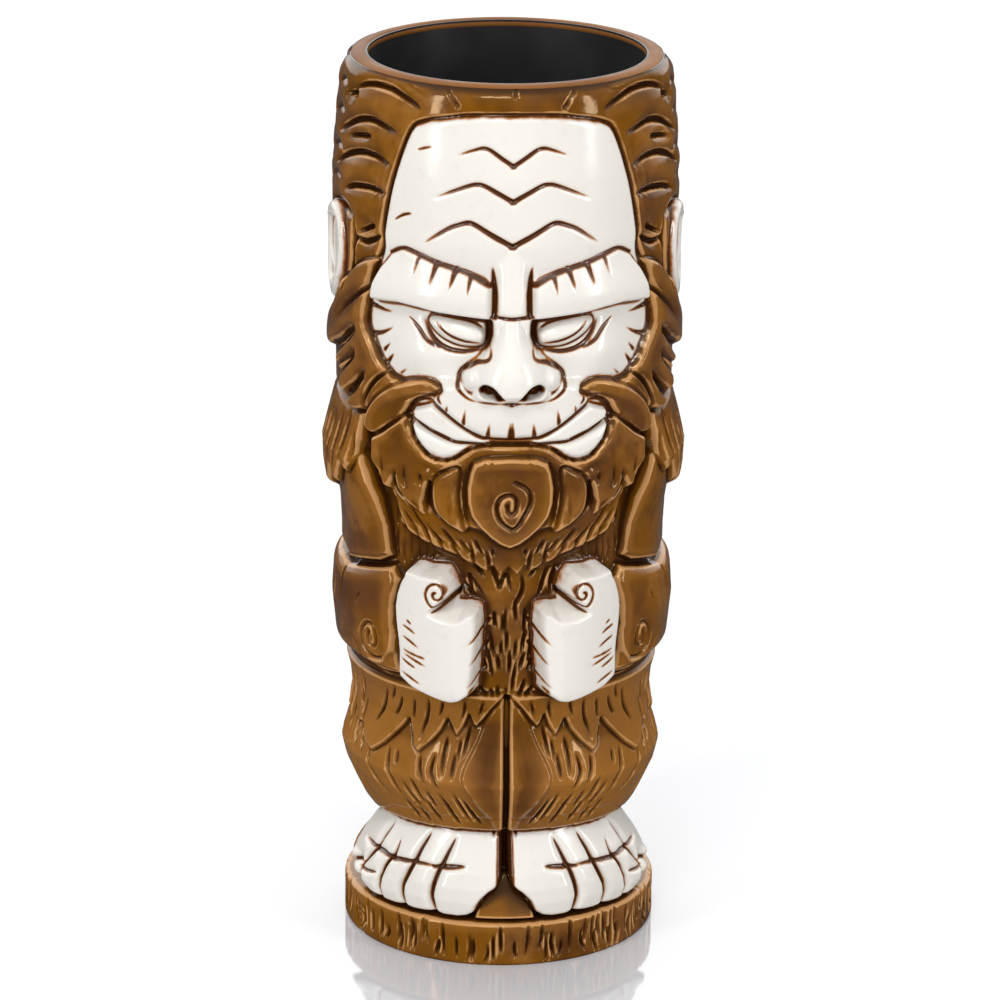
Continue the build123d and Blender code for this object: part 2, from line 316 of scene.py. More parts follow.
def lay_ground():
    """The turned body that every other mass stands on, and which piece each part of it belongs to."""
    hem = 23.8 + 3.6 * np.maximum(np.cos(ANGLE[None, :]), 0) ** 0.8
    shelf = np.clip((Z - PLINTH_TOP) / 0.9, 0, 1)
    ankle = 30.3 * (1 - shelf) + 24.0 * shelf
    behind = np.abs(degrees) > 118
    arms = np.where(Z > 81, by_side("upper_arm"), by_side("forearm"))
    trunk = np.where(behind, LABEL["back_fur"], np.where(np.abs(degrees) < 46, LABEL["chest_fur"], arms))
    head = np.where(behind, LABEL["hair_back"], by_side("hair"))
    radius[:] = PLINTH_RADIUS - rounded(Z, 0.5) - rounded(PLINTH_TOP - Z, 0.9)
    label[:] = LABEL["base_plinth"]
    radius[:] = np.where(Z >= PLINTH_TOP, ankle, radius)
    label[:] = np.where(Z >= PLINTH_TOP + 0.5, by_side("heel"), label)
    for base, profile, names in ((hem, LEGS, by_side("leg")), (WAIST, TRUNK, trunk), (HEAD_BASE, HEAD, head)):
        radius[:] = np.where(Z >= base, along(profile, Z), radius)
        label[:] = np.where(Z >= base, names, label)


FACE = [
    (0, 175.3), (8, 175.1), (12.4, 174.4), (17, 173.3), (19.8, 170.9), (22.6, 161), (24.2, 151.5),
    (24.5, 147), (25.9, 143), (27.3, 139), (28.0, 135), (28.3, 131.5), (27.6, 128), (25.9, 124.3),
    (24.0, 121.9), (21.8, 121.1), (19.6, 119.6), (19.7, 114), (17, 110), (8, 109), (0, 109),
]


def sculpt_face():
    def plate(s, z, depth):
        cheeks = 1.5 * np.exp(-(((np.abs(s) - 18.0) / 7.0) ** 2) - ((z - 127.5) / 5.0) ** 2)
        mouth = 2.4 * np.exp(-((s / 15) ** 4) - ((z - 117) / 6.5) ** 4)
        forehead = 0.9 * smooth_step((z - 142) / 8) * (1 - smooth_step((z - 158) / 20))
        sockets = -0.9 * np.exp(-(((np.abs(s) - 9.5) / 7.5) ** 4) - ((z - 132.2) / 4.0) ** 4)
        return 33.1 + cheeks + mouth + forehead + sockets

    face = both(seen(33.4, *FACE))
    raise_mass("face_plate", spline(face, closed=True, steps=4), plate, wall=0.8, edge=1.4, groove=0.8)


BROW = [
    (4.1, 134.7), (4.2, 141.7), (8.1, 143.6), (11.6, 144.6), (15.1, 145.4), (18.6, 146.6), (21.4, 147.2),
    (24.1, 145.6), (25.8, 142.8), (26.8, 139.8), (27.4, 136.9), (27.4, 135.4), (22.1, 136.3), (18.1, 136.0),
    (15.1, 135.5), (10.5, 135.2),
]
NOTCHES = [
    ((8.1, 143.4), (8.6, 139.2), 0.45),
    ((11.1, 144.5), (12.2, 140), 0.6),
    ((14.9, 145.2), (15.9, 140.6), 0.65),
    ((18.3, 146.3), (19.2, 141.6), 0.35),
]


BROW_LINES = [
    (35.3, [(4.1, 145.3), (3.7, 142.5), (3.2, 139.5), (3.3, 135.9), (3.6, 133.6), (4.0, 131)],
      0.75, 1.3, "both"),
    (35.2, [(4.2, 141.7), (8.1, 143.7), (11.6, 144.7), (15.1, 145.5), (19, 146.8), (21.6, 147.3),
      (24.2, 145.8)], 0.42, 0.5, "none"),
]
BRIDGE = [(0, 149), (2.6, 146), (3.0, 141), (3.1, 134.6), (0, 134.4)]


def sculpt_brows():
    def shelf(s, z, depth):
        return 34.5 + 1.7 * smooth_step((147.0 - z) / 8.0) - 0.5 * smooth_step((139 - z) / 4)

    def ridge_of_nose(s, z, depth):
        return 33.9 + 1.9 * smooth_step((149 - z) / 13)

    for name, side in SIDES.items():
        raise_mass(f"brow_{name}", on_side(35.6, BROW, side), shelf, wall=1.5, edge=0.9, groove=0.25)
        for top, end, width in NOTCHES:
            carve(on_side(35.3, (top, end), side), width, width * 1.3, "tip")
        carve_lines(BROW_LINES, side)
    raise_mass("nose_bridge", both(seen(35.4, *BRIDGE)), ridge_of_nose, wall=2.6, edge=0.3)
    carve(seen(35.8, (-3.6, 135.4), (0, 135.1), (3.6, 135.4)), 0.36, 0.5, "none")


EYELID = [
    (16.4, 134.0), (14.4, 131.3), (10.7, 129.6), (7, 129.5), (5.4, 130.4), (5.2, 132.2), (6.6, 133.6),
    (10.5, 134.9), (14.8, 135.4),
]
CROW_FEET = [
    ([(28.0, 134.6), (25.2, 134.2), (22.8, 134.2)], 0.7),
    ([(27.4, 128.6), (25.1, 129.7), (22.3, 131.8)], 0.65),
    ([(24.9, 126.2), (23.2, 128.4)], 0.45),
    ([(24.2, 124.0), (22.5, 126.5)], 0.55),
    ([(21.6, 122.3), (19.4, 124.4)], 0.25),
]


EYE_LINES = [
    (34.2, [(14.8, 134.5), (12.5, 132.1), (9.5, 130.8), (5.7, 130.3)], 0.36, 0.5, "both"),
    (34.0, [(17.2, 134.4), (15.5, 131.0), (13.0, 129.0), (9.5, 128.4), (5.4, 129.2)], 0.5, 0.9, "both"),
    (34.4, [(20.4, 134.2), (18.2, 132.2), (16.4, 130), (14.0, 128.6)], 0.45, 0.35, "both"),
    (34.0, [(4.7, 134.9), (4.5, 132), (4.8, 129.4)], 0.95, 1.6, "none"),
    (34.0, [(4.9, 134.6), (10, 134.9), (15.6, 135.4)], 0.6, 0.8, "tip"),
]


def sculpt_eyes():
    def ball(s, z, depth):
        return 33.1 + 1.7 * smooth_step(depth / 3.2) ** 0.6

    for name, side in SIDES.items():
        lid = spline(on_side(33.8, EYELID, side), closed=True)
        raise_mass(f"eyelid_{name}", lid, ball, wall=0.5, edge=0.4, groove=0.7)
        carve_lines(EYE_LINES, side)
        for line, width in CROW_FEET:
            carve(on_side(34.2, line, side), width, width * 1.2, "tip", only=["face_plate"])


NOSE = [
    (0, 135.4), (3.7, 135.4), (4.0, 133.0), (4.1, 130.6), (6.2, 127.6), (8.6, 125.7), (10.0, 123.8),
    (9.8, 121.8), (8.0, 119.9), (5.6, 119.0), (3.2, 118.6), (1.6, 118.5), (0, 118.0),
]
NOSTRIL = [(6.3, 120.9), (5.3, 121.9), (3.8, 121.6), (2.4, 120.1), (1.7, 118.8), (3.3, 119.0), (5.6, 119.6)]


CREASE = [(4.0, 130.4), (4.2, 127.9), (7.2, 126.5), (10.2, 124.4), (10.1, 121.8), (8.4, 119.9), (6, 119)]


def sculpt_nose():
    def flesh(s, z, depth):
        run = smooth_step((137 - z) / 14)
        half = 2.9 + 2.2 * smooth_step((133 - z) / 9)
        tip = 35.1 + 5.4 * run - 2.2 * (s / half) ** 2
        wings = 37.6 - 0.30 * ((np.abs(s) - 6.6) ** 2 + ((z - 123.6) / 1.1) ** 2)
        under = 40.4 - 1.5 * np.maximum(121.4 - z, 0) ** 1.3
        return np.maximum(np.minimum(np.maximum(tip, wings), under), 34.6)

    raise_mass("nose", spline(both(seen(36.5, *NOSE)), closed=True, steps=4), flesh, wall=1.0, edge=0.5)
    carve(seen(35.6, (-4.1, 135.4), (0, 135.3), (4.1, 135.4)), 0.42, 0.6, "none")
    for side in SIDES.values():
        carve(on_side(34.9, CREASE, side), 0.42, 0.7)
        raise_mass(None, spline(on_side(38.6, NOSTRIL, side), closed=True), 35.2, wall=0.5, edge=0.0)
        carve(on_side(38.6, [(5.7, 120.8), (4.2, 120.9), (2.2, 119.2)], side), 0.95, 0.7, "none")


MUZZLE = [
    (0, 122.0), (9, 122.4), (13, 121.8), (15.9, 119.6), (15.3, 117.5), (11.9, 115.1), (8.8, 113.0),
    (5.3, 111.4), (0, 111.1),
]
UPPER_LIP = [
    (15.5, 117.3), (19.2, 115.7), (18.9, 113.9), (15.4, 111.9), (10.9, 110.3), (3.2, 110.2), (5.3, 111.2),
    (8.8, 112.8), (11.9, 114.8),
]
LOWER_LIP = [
    (19.1, 113.4), (18.9, 111.2), (18.0, 109.2), (15.9, 107.0), (13.4, 106.2), (10.8, 107.0), (8.4, 108.9),
    (5.4, 109.9), (3.4, 110.1), (11, 110.2), (15.6, 111.8),
]
TEETH = [
    ((0.2, 111.5), (0.3, 115.2), 0.5),
    ((4.6, 111.6), (4.2, 115.0), 0.45),
    ((9.3, 114.0), (8.8, 117.6), 0.42),
    ((12.7, 116.2), (12.2, 118.2), 0.3),
]


MOUTH_LINES = [
    (35.6, [(18.9, 114.0), (15.4, 112.0), (11.2, 110.6)], 0.42, 0.6, "both"),
    (35.6, [(15.3, 117.4), (11.9, 115), (8.8, 112.9), (5.3, 111.3), (0, 111.0)], 0.36, 0.5, "none"),
    (36.0, [(13.4, 117.4), (14.2, 118.6), (13.8, 119.8)], 0.3, 0.35, "both"),
]


def sculpt_mouth():
    def muzzle_top(s, z, depth):
        return 35.4 + 1.1 * smooth_step((z - 110) / 6) * np.exp(-((s / 14) ** 4))

    raise_mass("muzzle", both(seen(36.0, *MUZZLE)), muzzle_top, wall=2.4, edge=0.9)
    for name, side in SIDES.items():
        upper = on_side(35.4, UPPER_LIP, side)
        raise_mass(f"upper_lip_{name}", upper, 35.5, wall=0.5, edge=1.0, groove=0.35)
        lower = spline(on_side(35.2, LOWER_LIP, side), closed=True)
        raise_mass(f"lower_lip_{name}", lower, 35.7, wall=0.5, edge=1.8, groove=0.4)
        carve_lines(MOUTH_LINES, side)
        for low, high, width in TEETH:
            carve(on_side(36.2, (low, high), side), width, width * 1.2, "tip")


WRINKLES = [
    ([(0, 165.4), (0, 165.4), (2.4, 167.0), (4.4, 168.4), (5.6, 168.8), (7.0, 168.6), (10.9, 167.2)], 0.46),
    ([(0, 158.5), (0, 158.5), (3.0, 160.2), (5.4, 161.5), (6.8, 161.8), (8.4, 161.5), (11.5, 160.2),
      (14.9, 158.6)], 0.52),
    ([(0, 149.7), (0, 149.7), (4.0, 151.9), (7.0, 153.7), (8.4, 154.2), (10.0, 153.8), (12.6, 152.6),
      (17.0, 149.3)], 0.62),
]
SCRATCHES = [
    ([(-18.6, 167.4), (-17, 168), (-15.4, 168.5)], 0.22),
    ([(-22.4, 153), (-20.6, 154.4), (-18.8, 155)], 0.28),
]


def sculpt_wrinkles():
    """The chevrons on the forehead, and two scratches beside them."""
    for line, width in WRINKLES:
        half = spline(seen(33.9, *line))
        tuft(np.vstack([mirror(half)[:-1], half]), (1.4, 0.22), width, 0.75)
    for line, width in SCRATCHES:
        carve(seen(33.8, *line), width, 0.25)


HAIR_STROKES = [
    ([(31.5, 175.6), (30.6, 176.7), (29.1, 177.5), (27.2, 177.8), (25.3, 177.7), (23.4, 177.2),
      (20.6, 176.2), (18.4, 175.1)], 0.55),
    ([(33.1, 166.8), (31.9, 168.7), (30.6, 170.0), (29.1, 170.7), (27.6, 170.9), (26.1, 170.6),
      (23.0, 169.8)], 0.6),
    ([(31.7, 166.4), (30.6, 167.0), (29.1, 167.5), (27.7, 167.9)], 0.38),
    ([(33.4, 160.2), (32.3, 162.2), (31.0, 163.4), (29.5, 164.1), (27.9, 164.3), (26.4, 164.2),
      (23.8, 163.3)], 0.6),
    ([(31.9, 156.0), (30.6, 157.0), (29.1, 157.5), (27.2, 157.8), (24.4, 157.7)], 0.55),
    ([(29.6, 148.3), (27.9, 149.7), (26.4, 150.7)], 0.4),
    ([(30.2, 147.0), (28.7, 146.7), (27.2, 147.5), (25.3, 148.9)], 0.6),
    ([(33.6, 152.6), (32.3, 152.0), (30.6, 151.0)], 0.8),
    ([(32.4, 174.2), (31.4, 175.0), (30.6, 175.2)], 0.3),
]
FRINGE_STROKES = [
    ([(0.4, 181.6), (0.3, 176.6)], 0.6, 0.9, "tip"),
    ([(-21.6, 179.3), (-20.3, 179), (-17.2, 177.9)], 0.35, 0.5, "both"),
    ([(-14.6, 181.2), (-12.8, 178.9), (-11.0, 176.8)], 0.5, 0.8, "start"),
    ([(8.6, 180.6), (8.0, 178.4)], 0.3, 0.4, "tip"),
    ([(13.6, 181.0), (11.8, 178.8), (10.0, 176.6)], 0.5, 0.8, "start"),
    ([(18.2, 179.6), (20.4, 178.6), (23.2, 178.8)], 0.3, 0.4, "both"),
]


HAIR_RIDGES = [[(18.6, 174.4), (21.4, 170.4), (24.2, 160.8), (25.7, 151.2)], [(25.0, 163.2), (26.4, 156)]]
EAR_GAP = [(62.5, 151.5), (63, 146), (64, 141), (68, 135)]


def sculpt_hair():
    for side in SIDES.values():
        for line, width in HAIR_STROKES:
            tuft(on_side(34.0, line, side), (3.6, 1.4), width * 1.05, 1.1, only=HAIR)
        for line in HAIR_RIDGES:
            carve(on_side(33.9, line, side), 0.5, -0.22, only=HAIR)
        gap = sided([round_arc(*point) for point in EAR_GAP], side)
        carve(gap, 0.8, 1.6, only=HAIR + ["sideburn_left", "sideburn_right"])
    for line, width, depth, taper in FRINGE_STROKES:
        carve(seen(33.2, *line), width, depth, taper, only=HAIR)
    comb_back_hair()


def comb_back_hair():
    """Locks round the sides and the back, which droop more towards the nape."""
    random = np.random.default_rng(7)
    for column, at in enumerate(np.arange(82, 181, 15.6)):
        for z in np.arange(117.0 if at > 96 else 156.0, 178, 6.4):
            z = z + (column % 2) * 3.2 + random.uniform(-0.8, 0.8)
            fall = 0.15 + 0.7 * smooth_step((at - 85) / 60) + 0.5 * smooth_step((150 - z) / 40)
            length = random.uniform(8.5, 11.5)
            width, depth = random.uniform(0.5, 0.62), random.uniform(0.8, 1.0)
            for side in SIDES.values():
                s, _ = round_arc(side * at, z)
                half = 0.5 * length * np.array([side * np.cos(fall), -np.sin(fall)])
                line = [(s - half[0], z - half[1]), (s, z + 1.0), (s + half[0], z + half[1])]
                tuft(line, (3.0, 0.9), width * 0.85, depth * (1.0 if column else 0.45), only=HAIR)


SIDEBURN_FRONT = [
    (20.2, 119.9), (21.8, 121.0), (23.6, 121.6), (25.7, 124.0), (26.8, 126.3), (27.7, 128), (28.4, 129.8),
    (28.6, 131.7), (28.2, 135.9), (27.6, 139.1), (26.9, 142.2), (26.4, 143.9), (28.1, 143.6), (30.0, 142.0),
    (31.9, 138.9), (33.0, 137.1),
]
SIDEBURN_LOBES = [
    (33.4, 123.9), (31.9, 126.8), (30.6, 128.3), (30.6, 127.9), (31.5, 125.9), (32.9, 123.4), (34.2, 120.0),
    (34.4, 117.4), (33.6, 117.2), (32.7, 118.9), (30.6, 123.2), (30.6, 123.2), (31.5, 121.2), (33.2, 117.7),
    (33.6, 115.0), (32.9, 113.6), (31.9, 114.5), (29.0, 119.3), (29.0, 119.3), (30.6, 115.8), (32.1, 113.3),
    (31.9, 111.8), (30.6, 111.5), (29.0, 112.5), (27.6, 113.8), (25.6, 115.8), (22.8, 117.8),
]
SIDEBURN_WEDGES = [
    ([(27.3, 138.4), (28.7, 136.9), (30.0, 135.3), (31.9, 132.4), (33.3, 129.0)], 0.7, "tip"),
    ([(34.4, 121.6), (33.4, 124.0), (31.9, 126.9), (30.2, 128.7)], 0.55, "tip"),
    ([(34.2, 117.4), (31.9, 121.7), (30.2, 124.3)], 0.55, "tip"),
    ([(32.4, 114.2), (30.6, 117.2), (29.4, 119.3), (28.1, 121.0)], 0.6, "tip"),
    ([(28.9, 112.9), (28.4, 115.3), (27.4, 117.9), (26.0, 120.1), (24.0, 122.1)], 0.6, "both"),
]


SIDEBURN_BACK = [(77, 132.5), (85, 129), (91, 125), (91, 121.6), (86, 121), (81, 122.2)]


def sculpt_sideburns():
    outer = [round_arc(*point) for point in SIDEBURN_BACK]
    outline = np.vstack([spline(seen(35.2, *SIDEBURN_FRONT)), outer, seen(35.2, *SIDEBURN_LOBES)])
    for name, side in SIDES.items():
        piece = f"sideburn_{name}"
        raise_mass(piece, sided(outline, side), 35.3, wall=0.8, edge=1.9, groove=0.35)
        for line, width, taper in SIDEBURN_WEDGES:
            tuft(on_side(35.0, line, side), (3.2, 1.1), width * 0.85, 0.9, taper, [piece])


EAR = [
    (68, 146), (69.5, 150), (74, 152.6), (81, 153.0), (89, 150.8), (95, 146), (96.5, 140), (94, 134),
    (88, 130.6), (82, 130.0), (75.5, 132.8), (70.5, 137.2), (68, 142),
]
EAR_MIDDLE = 141.2
EAR_RIM = [(76, 147.5), (80, 149), (87, 147), (89, 141.5), (82, 137.5)]
EAR_HOLE = [(75, 144.8), (76, 141), (79, 138)]


def sculpt_ears():
    def shell(s, z, depth):
        bowl = 1.1 * smooth_step((depth - 1.9) / 1.2) * smooth_step((z - 133) / 3)
        return 35.0 - bowl - 0.6 * smooth_step((137 - z) / 7)

    outline = [round_arc(at, EAR_MIDDLE + 0.9 * (z - EAR_MIDDLE)) for at, z in EAR]
    for name, side in SIDES.items():
        rim = spline(sided(outline, side), closed=True)
        raise_mass(f"ear_{name}", rim, shell, wall=1.8, edge=1.2, groove=0.3, foot=0.2)
        carve(sided([round_arc(*point) for point in EAR_RIM], side), 0.8, -1.0)
        carve(sided([round_arc(*point) for point in EAR_HOLE], side), 0.5, 0.5)


MOUSTACHE = [
    (13.4, 120.3), (15.2, 121.6), (17.0, 121.9), (19.5, 121.4), (21.4, 120.6), (23.3, 119.5), (24.8, 118.2),
    (26.3, 116.5), (27.5, 114.6), (28.5, 112.2), (29.1, 109.8), (28.9, 108.5), (28.1, 107.9), (26.9, 108.3),
    (25.6, 109.4), (24.4, 110.6), (23.1, 111.8), (21.7, 113.2), (20.6, 114.7), (19.8, 116.2), (18.9, 117.5),
    (17.3, 118.3), (15.2, 119.2),
]


MOUSTACHE_LINES = [
    (35.8, [(15.6, 119.2), (18.4, 118.6), (22.0, 116.6)], 0.4, 0.5, "both"),
    (35.2, [(20.0, 114.4), (20.2, 113.2), (19.8, 111.8)], 0.6, 0.7, "both"),
    (35.2, [(20.2, 116.6), (17.4, 117.8), (14.8, 118.0)], 0.35, 0.5, "both"),
]


def sculpt_moustache():
    def sweep(s, z, depth):
        across = (z - 118.2) * 0.75 + (np.abs(s) - 24) * 0.66
        return 36.1 - 0.7 * smooth_step((np.abs(s) - 22) / 14) - 0.9 * smooth_step((0.6 - across) / 3.4)

    for name, side in SIDES.items():
        outline = spline(on_side(35.7, MOUSTACHE, side), closed=True)
        raise_mass(f"moustache_{name}", outline, sweep, wall=0.9, edge=1.3, groove=0.35)
        carve_lines(MOUSTACHE_LINES, side)


BEARD_LIP = [
    (0, 110.3), (4.6, 110.3), (7.6, 109.6), (10.4, 107.5), (13.4, 107.0), (16.4, 108.2), (18.6, 110.6),
    (19.6, 113.8), (21.4, 114.6),
]
BEARD_LOW = [
    *BEARD_LIP[1:], (24.4, 110.4), (26.9, 108.4), (26.8, 103.3), (26.2, 100.2), (24.8, 98.3), (23.4, 97.8),
    (22.8, 94.6), (22.3, 91.6), (20.9, 90.1), (19.3, 89.1), (17.4, 88.3), (15.4, 87.6), (14.1, 87.2),
    (12.2, 86.7), (10.6, 86.0), (8.7, 85.0), (6.7, 84.3), (4.6, 83.0), (3.4, 84.4), (1.8, 82.4), (0, 84.2),
]
BEARD_TOP = [
    *BEARD_LIP, (24.4, 110.4), (26.9, 108.2), (26.7, 103.5), (26.1, 100.4), (24.9, 98.5), (23.5, 98.4),
    (22.7, 100.6), (22.7, 100.6), (22.2, 98.9), (20.8, 96.9), (18.8, 95.2), (16.6, 94.1), (16.6, 94.1),
    (16.9, 97), (16.4, 99.4), (15.7, 101.6), (15.7, 101.6), (15.4, 98), (15.0, 95.8), (13.6, 94.2),
    (12.2, 93.0), (10.6, 92.1), (9.2, 91.5), (9.2, 91.5), (8.0, 92.8), (5.0, 92), (0, 92),
]
BEARD_STRANDS = [
    ([(23.0, 97.2), (22.6, 94.6), (21.7, 92.8)], 0.3),
    ([(22.0, 103.0), (22.5, 101.3), (22.4, 99.6), (21.3, 97.9), (20.2, 96.6)], 0.5),
    ([(15.5, 101.6), (16.1, 99.2), (16.1, 97.3), (15.3, 96.0), (13.9, 94.4)], 0.62),
    ([(17.6, 103.4), (17.2, 100.8)], 0.35),
    ([(13.2, 103.7), (13.0, 101.3)], 0.35),
    ([(12.2, 103.4), (12.2, 101.2)], 0.35),
    ([(19.0, 97.2), (17.6, 95.4)], 0.3),
    ([(19.6, 95.4), (18.4, 92.8), (16.4, 90.6)], 0.4),
    ([(21.4, 94.8), (20.2, 92.4), (18.6, 90.6)], 0.4),
    ([(17.2, 92.8), (15.4, 90.2), (13.2, 88.6)], 0.4),
    ([(13.8, 92.2), (12.4, 90.0), (10.2, 87.6)], 0.45),
    ([(10.4, 90.4), (9.4, 88.6), (7.4, 86.4)], 0.4),
    ([(7.2, 90.4), (6.4, 88.2), (5.2, 86.4)], 0.45),
    ([(3.6, 88.4), (3.2, 86.6)], 0.35),
    ([(24.6, 104.6), (24.9, 102), (24.6, 100.2)], 0.35),
    ([(20.4, 104.2), (20.6, 101.8), (20.0, 99.6)], 0.3),
]


def sculpt_beard():
    around = [name for name in NODES if not name.startswith(("lower_lip", "upper_lip", "muzzle"))]

    def fur(s, z, depth):
        return along([(83, 31.6), (88, 32.8), (94, 33.8), (112, 34.0)], z)

    def jaw(s, z, depth):
        lip_roll = 0.9 * np.exp(-(((depth - 1.5) / 1.5) ** 2)) * smooth_step((z - 102) / 3)
        return along([(91, 34.4), (97, 35.1), (103, 35.2), (107, 34.9), (112, 34.6)], z) + lip_roll

    whole = both(seen(34.4, BEARD_LIP[0], *BEARD_LOW))
    raise_mass("beard", whole, fur, wall=1.6, edge=0.4, groove=0.1, over=around)
    raise_mass("beard", both(seen(35.0, *BEARD_TOP)), jaw, wall=0.9, edge=1.1, groove=0.25, over=around)
    fringe_beard()
    for side in SIDES.values():
        for line, width in BEARD_STRANDS:
            tuft(on_side(34.8, line, side), (2.4, 0.6), width * 0.9, width * 1.4, only=["beard"])


def fringe_beard():
    """Strokes all along the beard's lower border."""
    random = np.random.default_rng(17)
    border = spline(seen(34.2, *BEARD_LOW[12:-2]), steps=6)
    steps = np.cumsum(np.hypot(*np.diff(border, axis=0).T))
    at = 1.0
    while at < steps[-1]:
        root = border[int(np.searchsorted(steps, at))]
        at += random.uniform(2.2, 4.4)
        inward = np.array([random.uniform(-0.1, 0.3) + 0.02 * root[0], 1.0]) * random.uniform(3.0, 7.0)
        bend = random.uniform(-0.9, 0.3)
        for side in SIDES.values():
            line = sided([root - 0.12 * inward, root + 0.5 * inward + (bend, 0), root + inward], side)
            tuft(line, (2.2, 0.6), 0.42, 0.7, only=["beard"])


SHIELD = [
    (0, 107.7), (5.0, 107.4), (7.2, 106.4), (8.0, 104.2), (8.5, 101.1), (8.4, 98.1), (7.7, 95.2),
    (6.1, 92.9), (4.1, 90.8), (2.1, 89.3), (0, 88.4),
]
FLANK = [
    (9.7, 105.2), (12.4, 104.6), (14.9, 102.6), (15.5, 99.5), (15.1, 96.2), (13.8, 94.4), (12.3, 93.1),
    (10.8, 92.3), (9.3, 91.6), (9.4, 94), (9.9, 97), (10.1, 100),
]
CHIN_SPIRAL = [
    (-0.6, 97.9), (-0.4, 96.6), (0.2, 95.9), (0.8, 96.5), (1.1, 97.5), (1.1, 99.0), (0.5, 99.8),
    (-0.4, 100.0), (-1.6, 99.6), (-2.4, 98.6), (-2.7, 97.1), (-2.3, 95.3), (-1.4, 93.9), (-0.2, 93.0),
    (0.6, 92.7), (0.6, 92.7), (1.6, 93.6), (2.5, 95.3), (3.5, 97.3), (3.9, 99.1), (3.6, 100.6),
    (2.7, 101.6), (1.7, 102.2), (0.9, 102.5),
]


LOCK_GROOVE = [(12.0, 100.8), (11.8, 97.8), (11.8, 95.1), (11.4, 93)]
SHIELD_SIDE = [(8.6, 104.9), (9.1, 101.1), (9.0, 98), (8.6, 95), (7.9, 92.9)]
SHIELD_NICKS = [
    [(-4.9, 107.3), (-5.2, 104.8)],
    [(-3.6, 106.9), (-3.9, 104.6)],
    [(3.4, 107.4), (4.6, 104.4)],
]


def sculpt_chin():
    def shield(s, z, depth):
        brow_of_chin = 0.5 * smooth_step((z - 104.6) / 2)
        border = 0.28 * (1 - smooth_step((depth - 0.6) / 0.7))
        return 35.2 + 1.5 * smooth_step((z - 88) / 11) + brow_of_chin + border

    for name, side in SIDES.items():
        flank = spline(on_side(35.5, FLANK, side), closed=True, steps=3)
        raise_mass(f"beard_lock_{name}", flank, 35.6, wall=0.6, edge=1.4, groove=0.3)
        carve(on_side(35.6, LOCK_GROOVE, side), 0.35, 0.45)
    raise_mass("chin_tuft", both(seen(36.4, *SHIELD)), shield, wall=0.7, edge=0.7, groove=0.3)
    for side in SIDES.values():
        carve(on_side(35.4, SHIELD_SIDE, side), 0.5, 0.8)
    for line in SHIELD_NICKS:
        carve(seen(36.8, *line), 0.36, 0.5, "tip")
    carve(seen(36.6, *CHIN_SPIRAL), 0.5, 0.9, "none")


SHOULDER_CAP = [
    (57, 111.8), (57, 106.4), (60.5, 101), (64, 98.4), (66.5, 100.4), (70, 97.0), (73.5, 94.6), (77, 97.6),
    (82, 94.4), (86, 91.8), (90, 94.8), (96, 92.6), (101, 90.4), (105, 93.8), (111, 91.8), (116, 90.2),
    (119, 93), (119, 113.5), (80, 113.5),
]
UPPER_ARM = [
    (23.9, 83.9), (24.5, 90.0), (25.7, 95.8), (26.9, 99.5), (27.7, 101.6), (28.9, 106), (29.4, 112.5),
]
FOREARM = [
    (21.6, 59.6), (22.1, 63), (22.3, 67.7), (22.8, 70.4), (23.0, 74.4), (22.6, 77.2), (22.2, 79.6),
    (23.8, 82.2), (26.1, 81.3), (29, 80.3), (32.3, 78.9),
]
ELBOW_CURL = [
    (27.3, 67.6), (27.6, 66.1), (27.4, 64.9), (26.7, 64.5), (26.1, 65.6), (26.2, 67.6), (26.8, 69.2),
    (27.9, 69.0), (28.8, 67.0), (28.9, 64.6), (28.2, 62.9), (26.8, 62.2), (25.2, 62.6),
]


SHOULDER_STROKES = [
    (60, 108, 61.5, 101), (64.5, 111, 67.5, 101), (70, 110.5, 74, 97.5), (75.5, 109, 80, 98),
    (81, 111, 86, 95), (87, 108, 92, 96.5), (94, 110.5, 98, 94.5), (101, 109, 104, 96.5),
    (108, 111, 111, 94.5), (114, 108, 115.5, 96),
]
FOREARM_STROKES = [
    (72, 77.5, 74, 70), (80, 76, 82, 66), (88, 77, 90, 68), (98, 76, 99, 65), (108, 77, 108, 67),
]
FOREARM_LINES = [
    (34.8, ELBOW_CURL, 0.42, 0.75, "none"),
    (34.8, [(23.6, 72.4), (23.2, 68.4), (23.8, 64.6), (25.6, 61.8), (28.4, 61.2)], 0.8, -0.55, "both"),
    (34.8, [(30.7, 63.2), (29.0, 60.7), (26.0, 60.3), (23.1, 60.2), (21.7, 59.4)], 0.45, 0.7, "both"),
    (34.8, [(31.6, 66.6), (30.8, 64.4), (29.4, 61.8)], 0.4, 0.6, "both"),
    (34.8, [(29.4, 74.6), (30.1, 73.4), (30.4, 71.8)], 0.42, 0.55, "both"),
]
ARM_BACK = 118  # the angle at which the arms meet the fur of the back


def arm_strokes(strokes, bow, side, roll, width, depth, piece):
    """Strokes from one (angle, height) down to another, with the middle moved on by an angle."""
    for at, top, to, low in strokes:
        middle = round_arc(0.5 * (at + to) + bow, 0.5 * (top + low))
        line = sided([round_arc(at, top), middle, round_arc(to, low)], side)
        tuft(line, roll, width, depth, only=[piece])


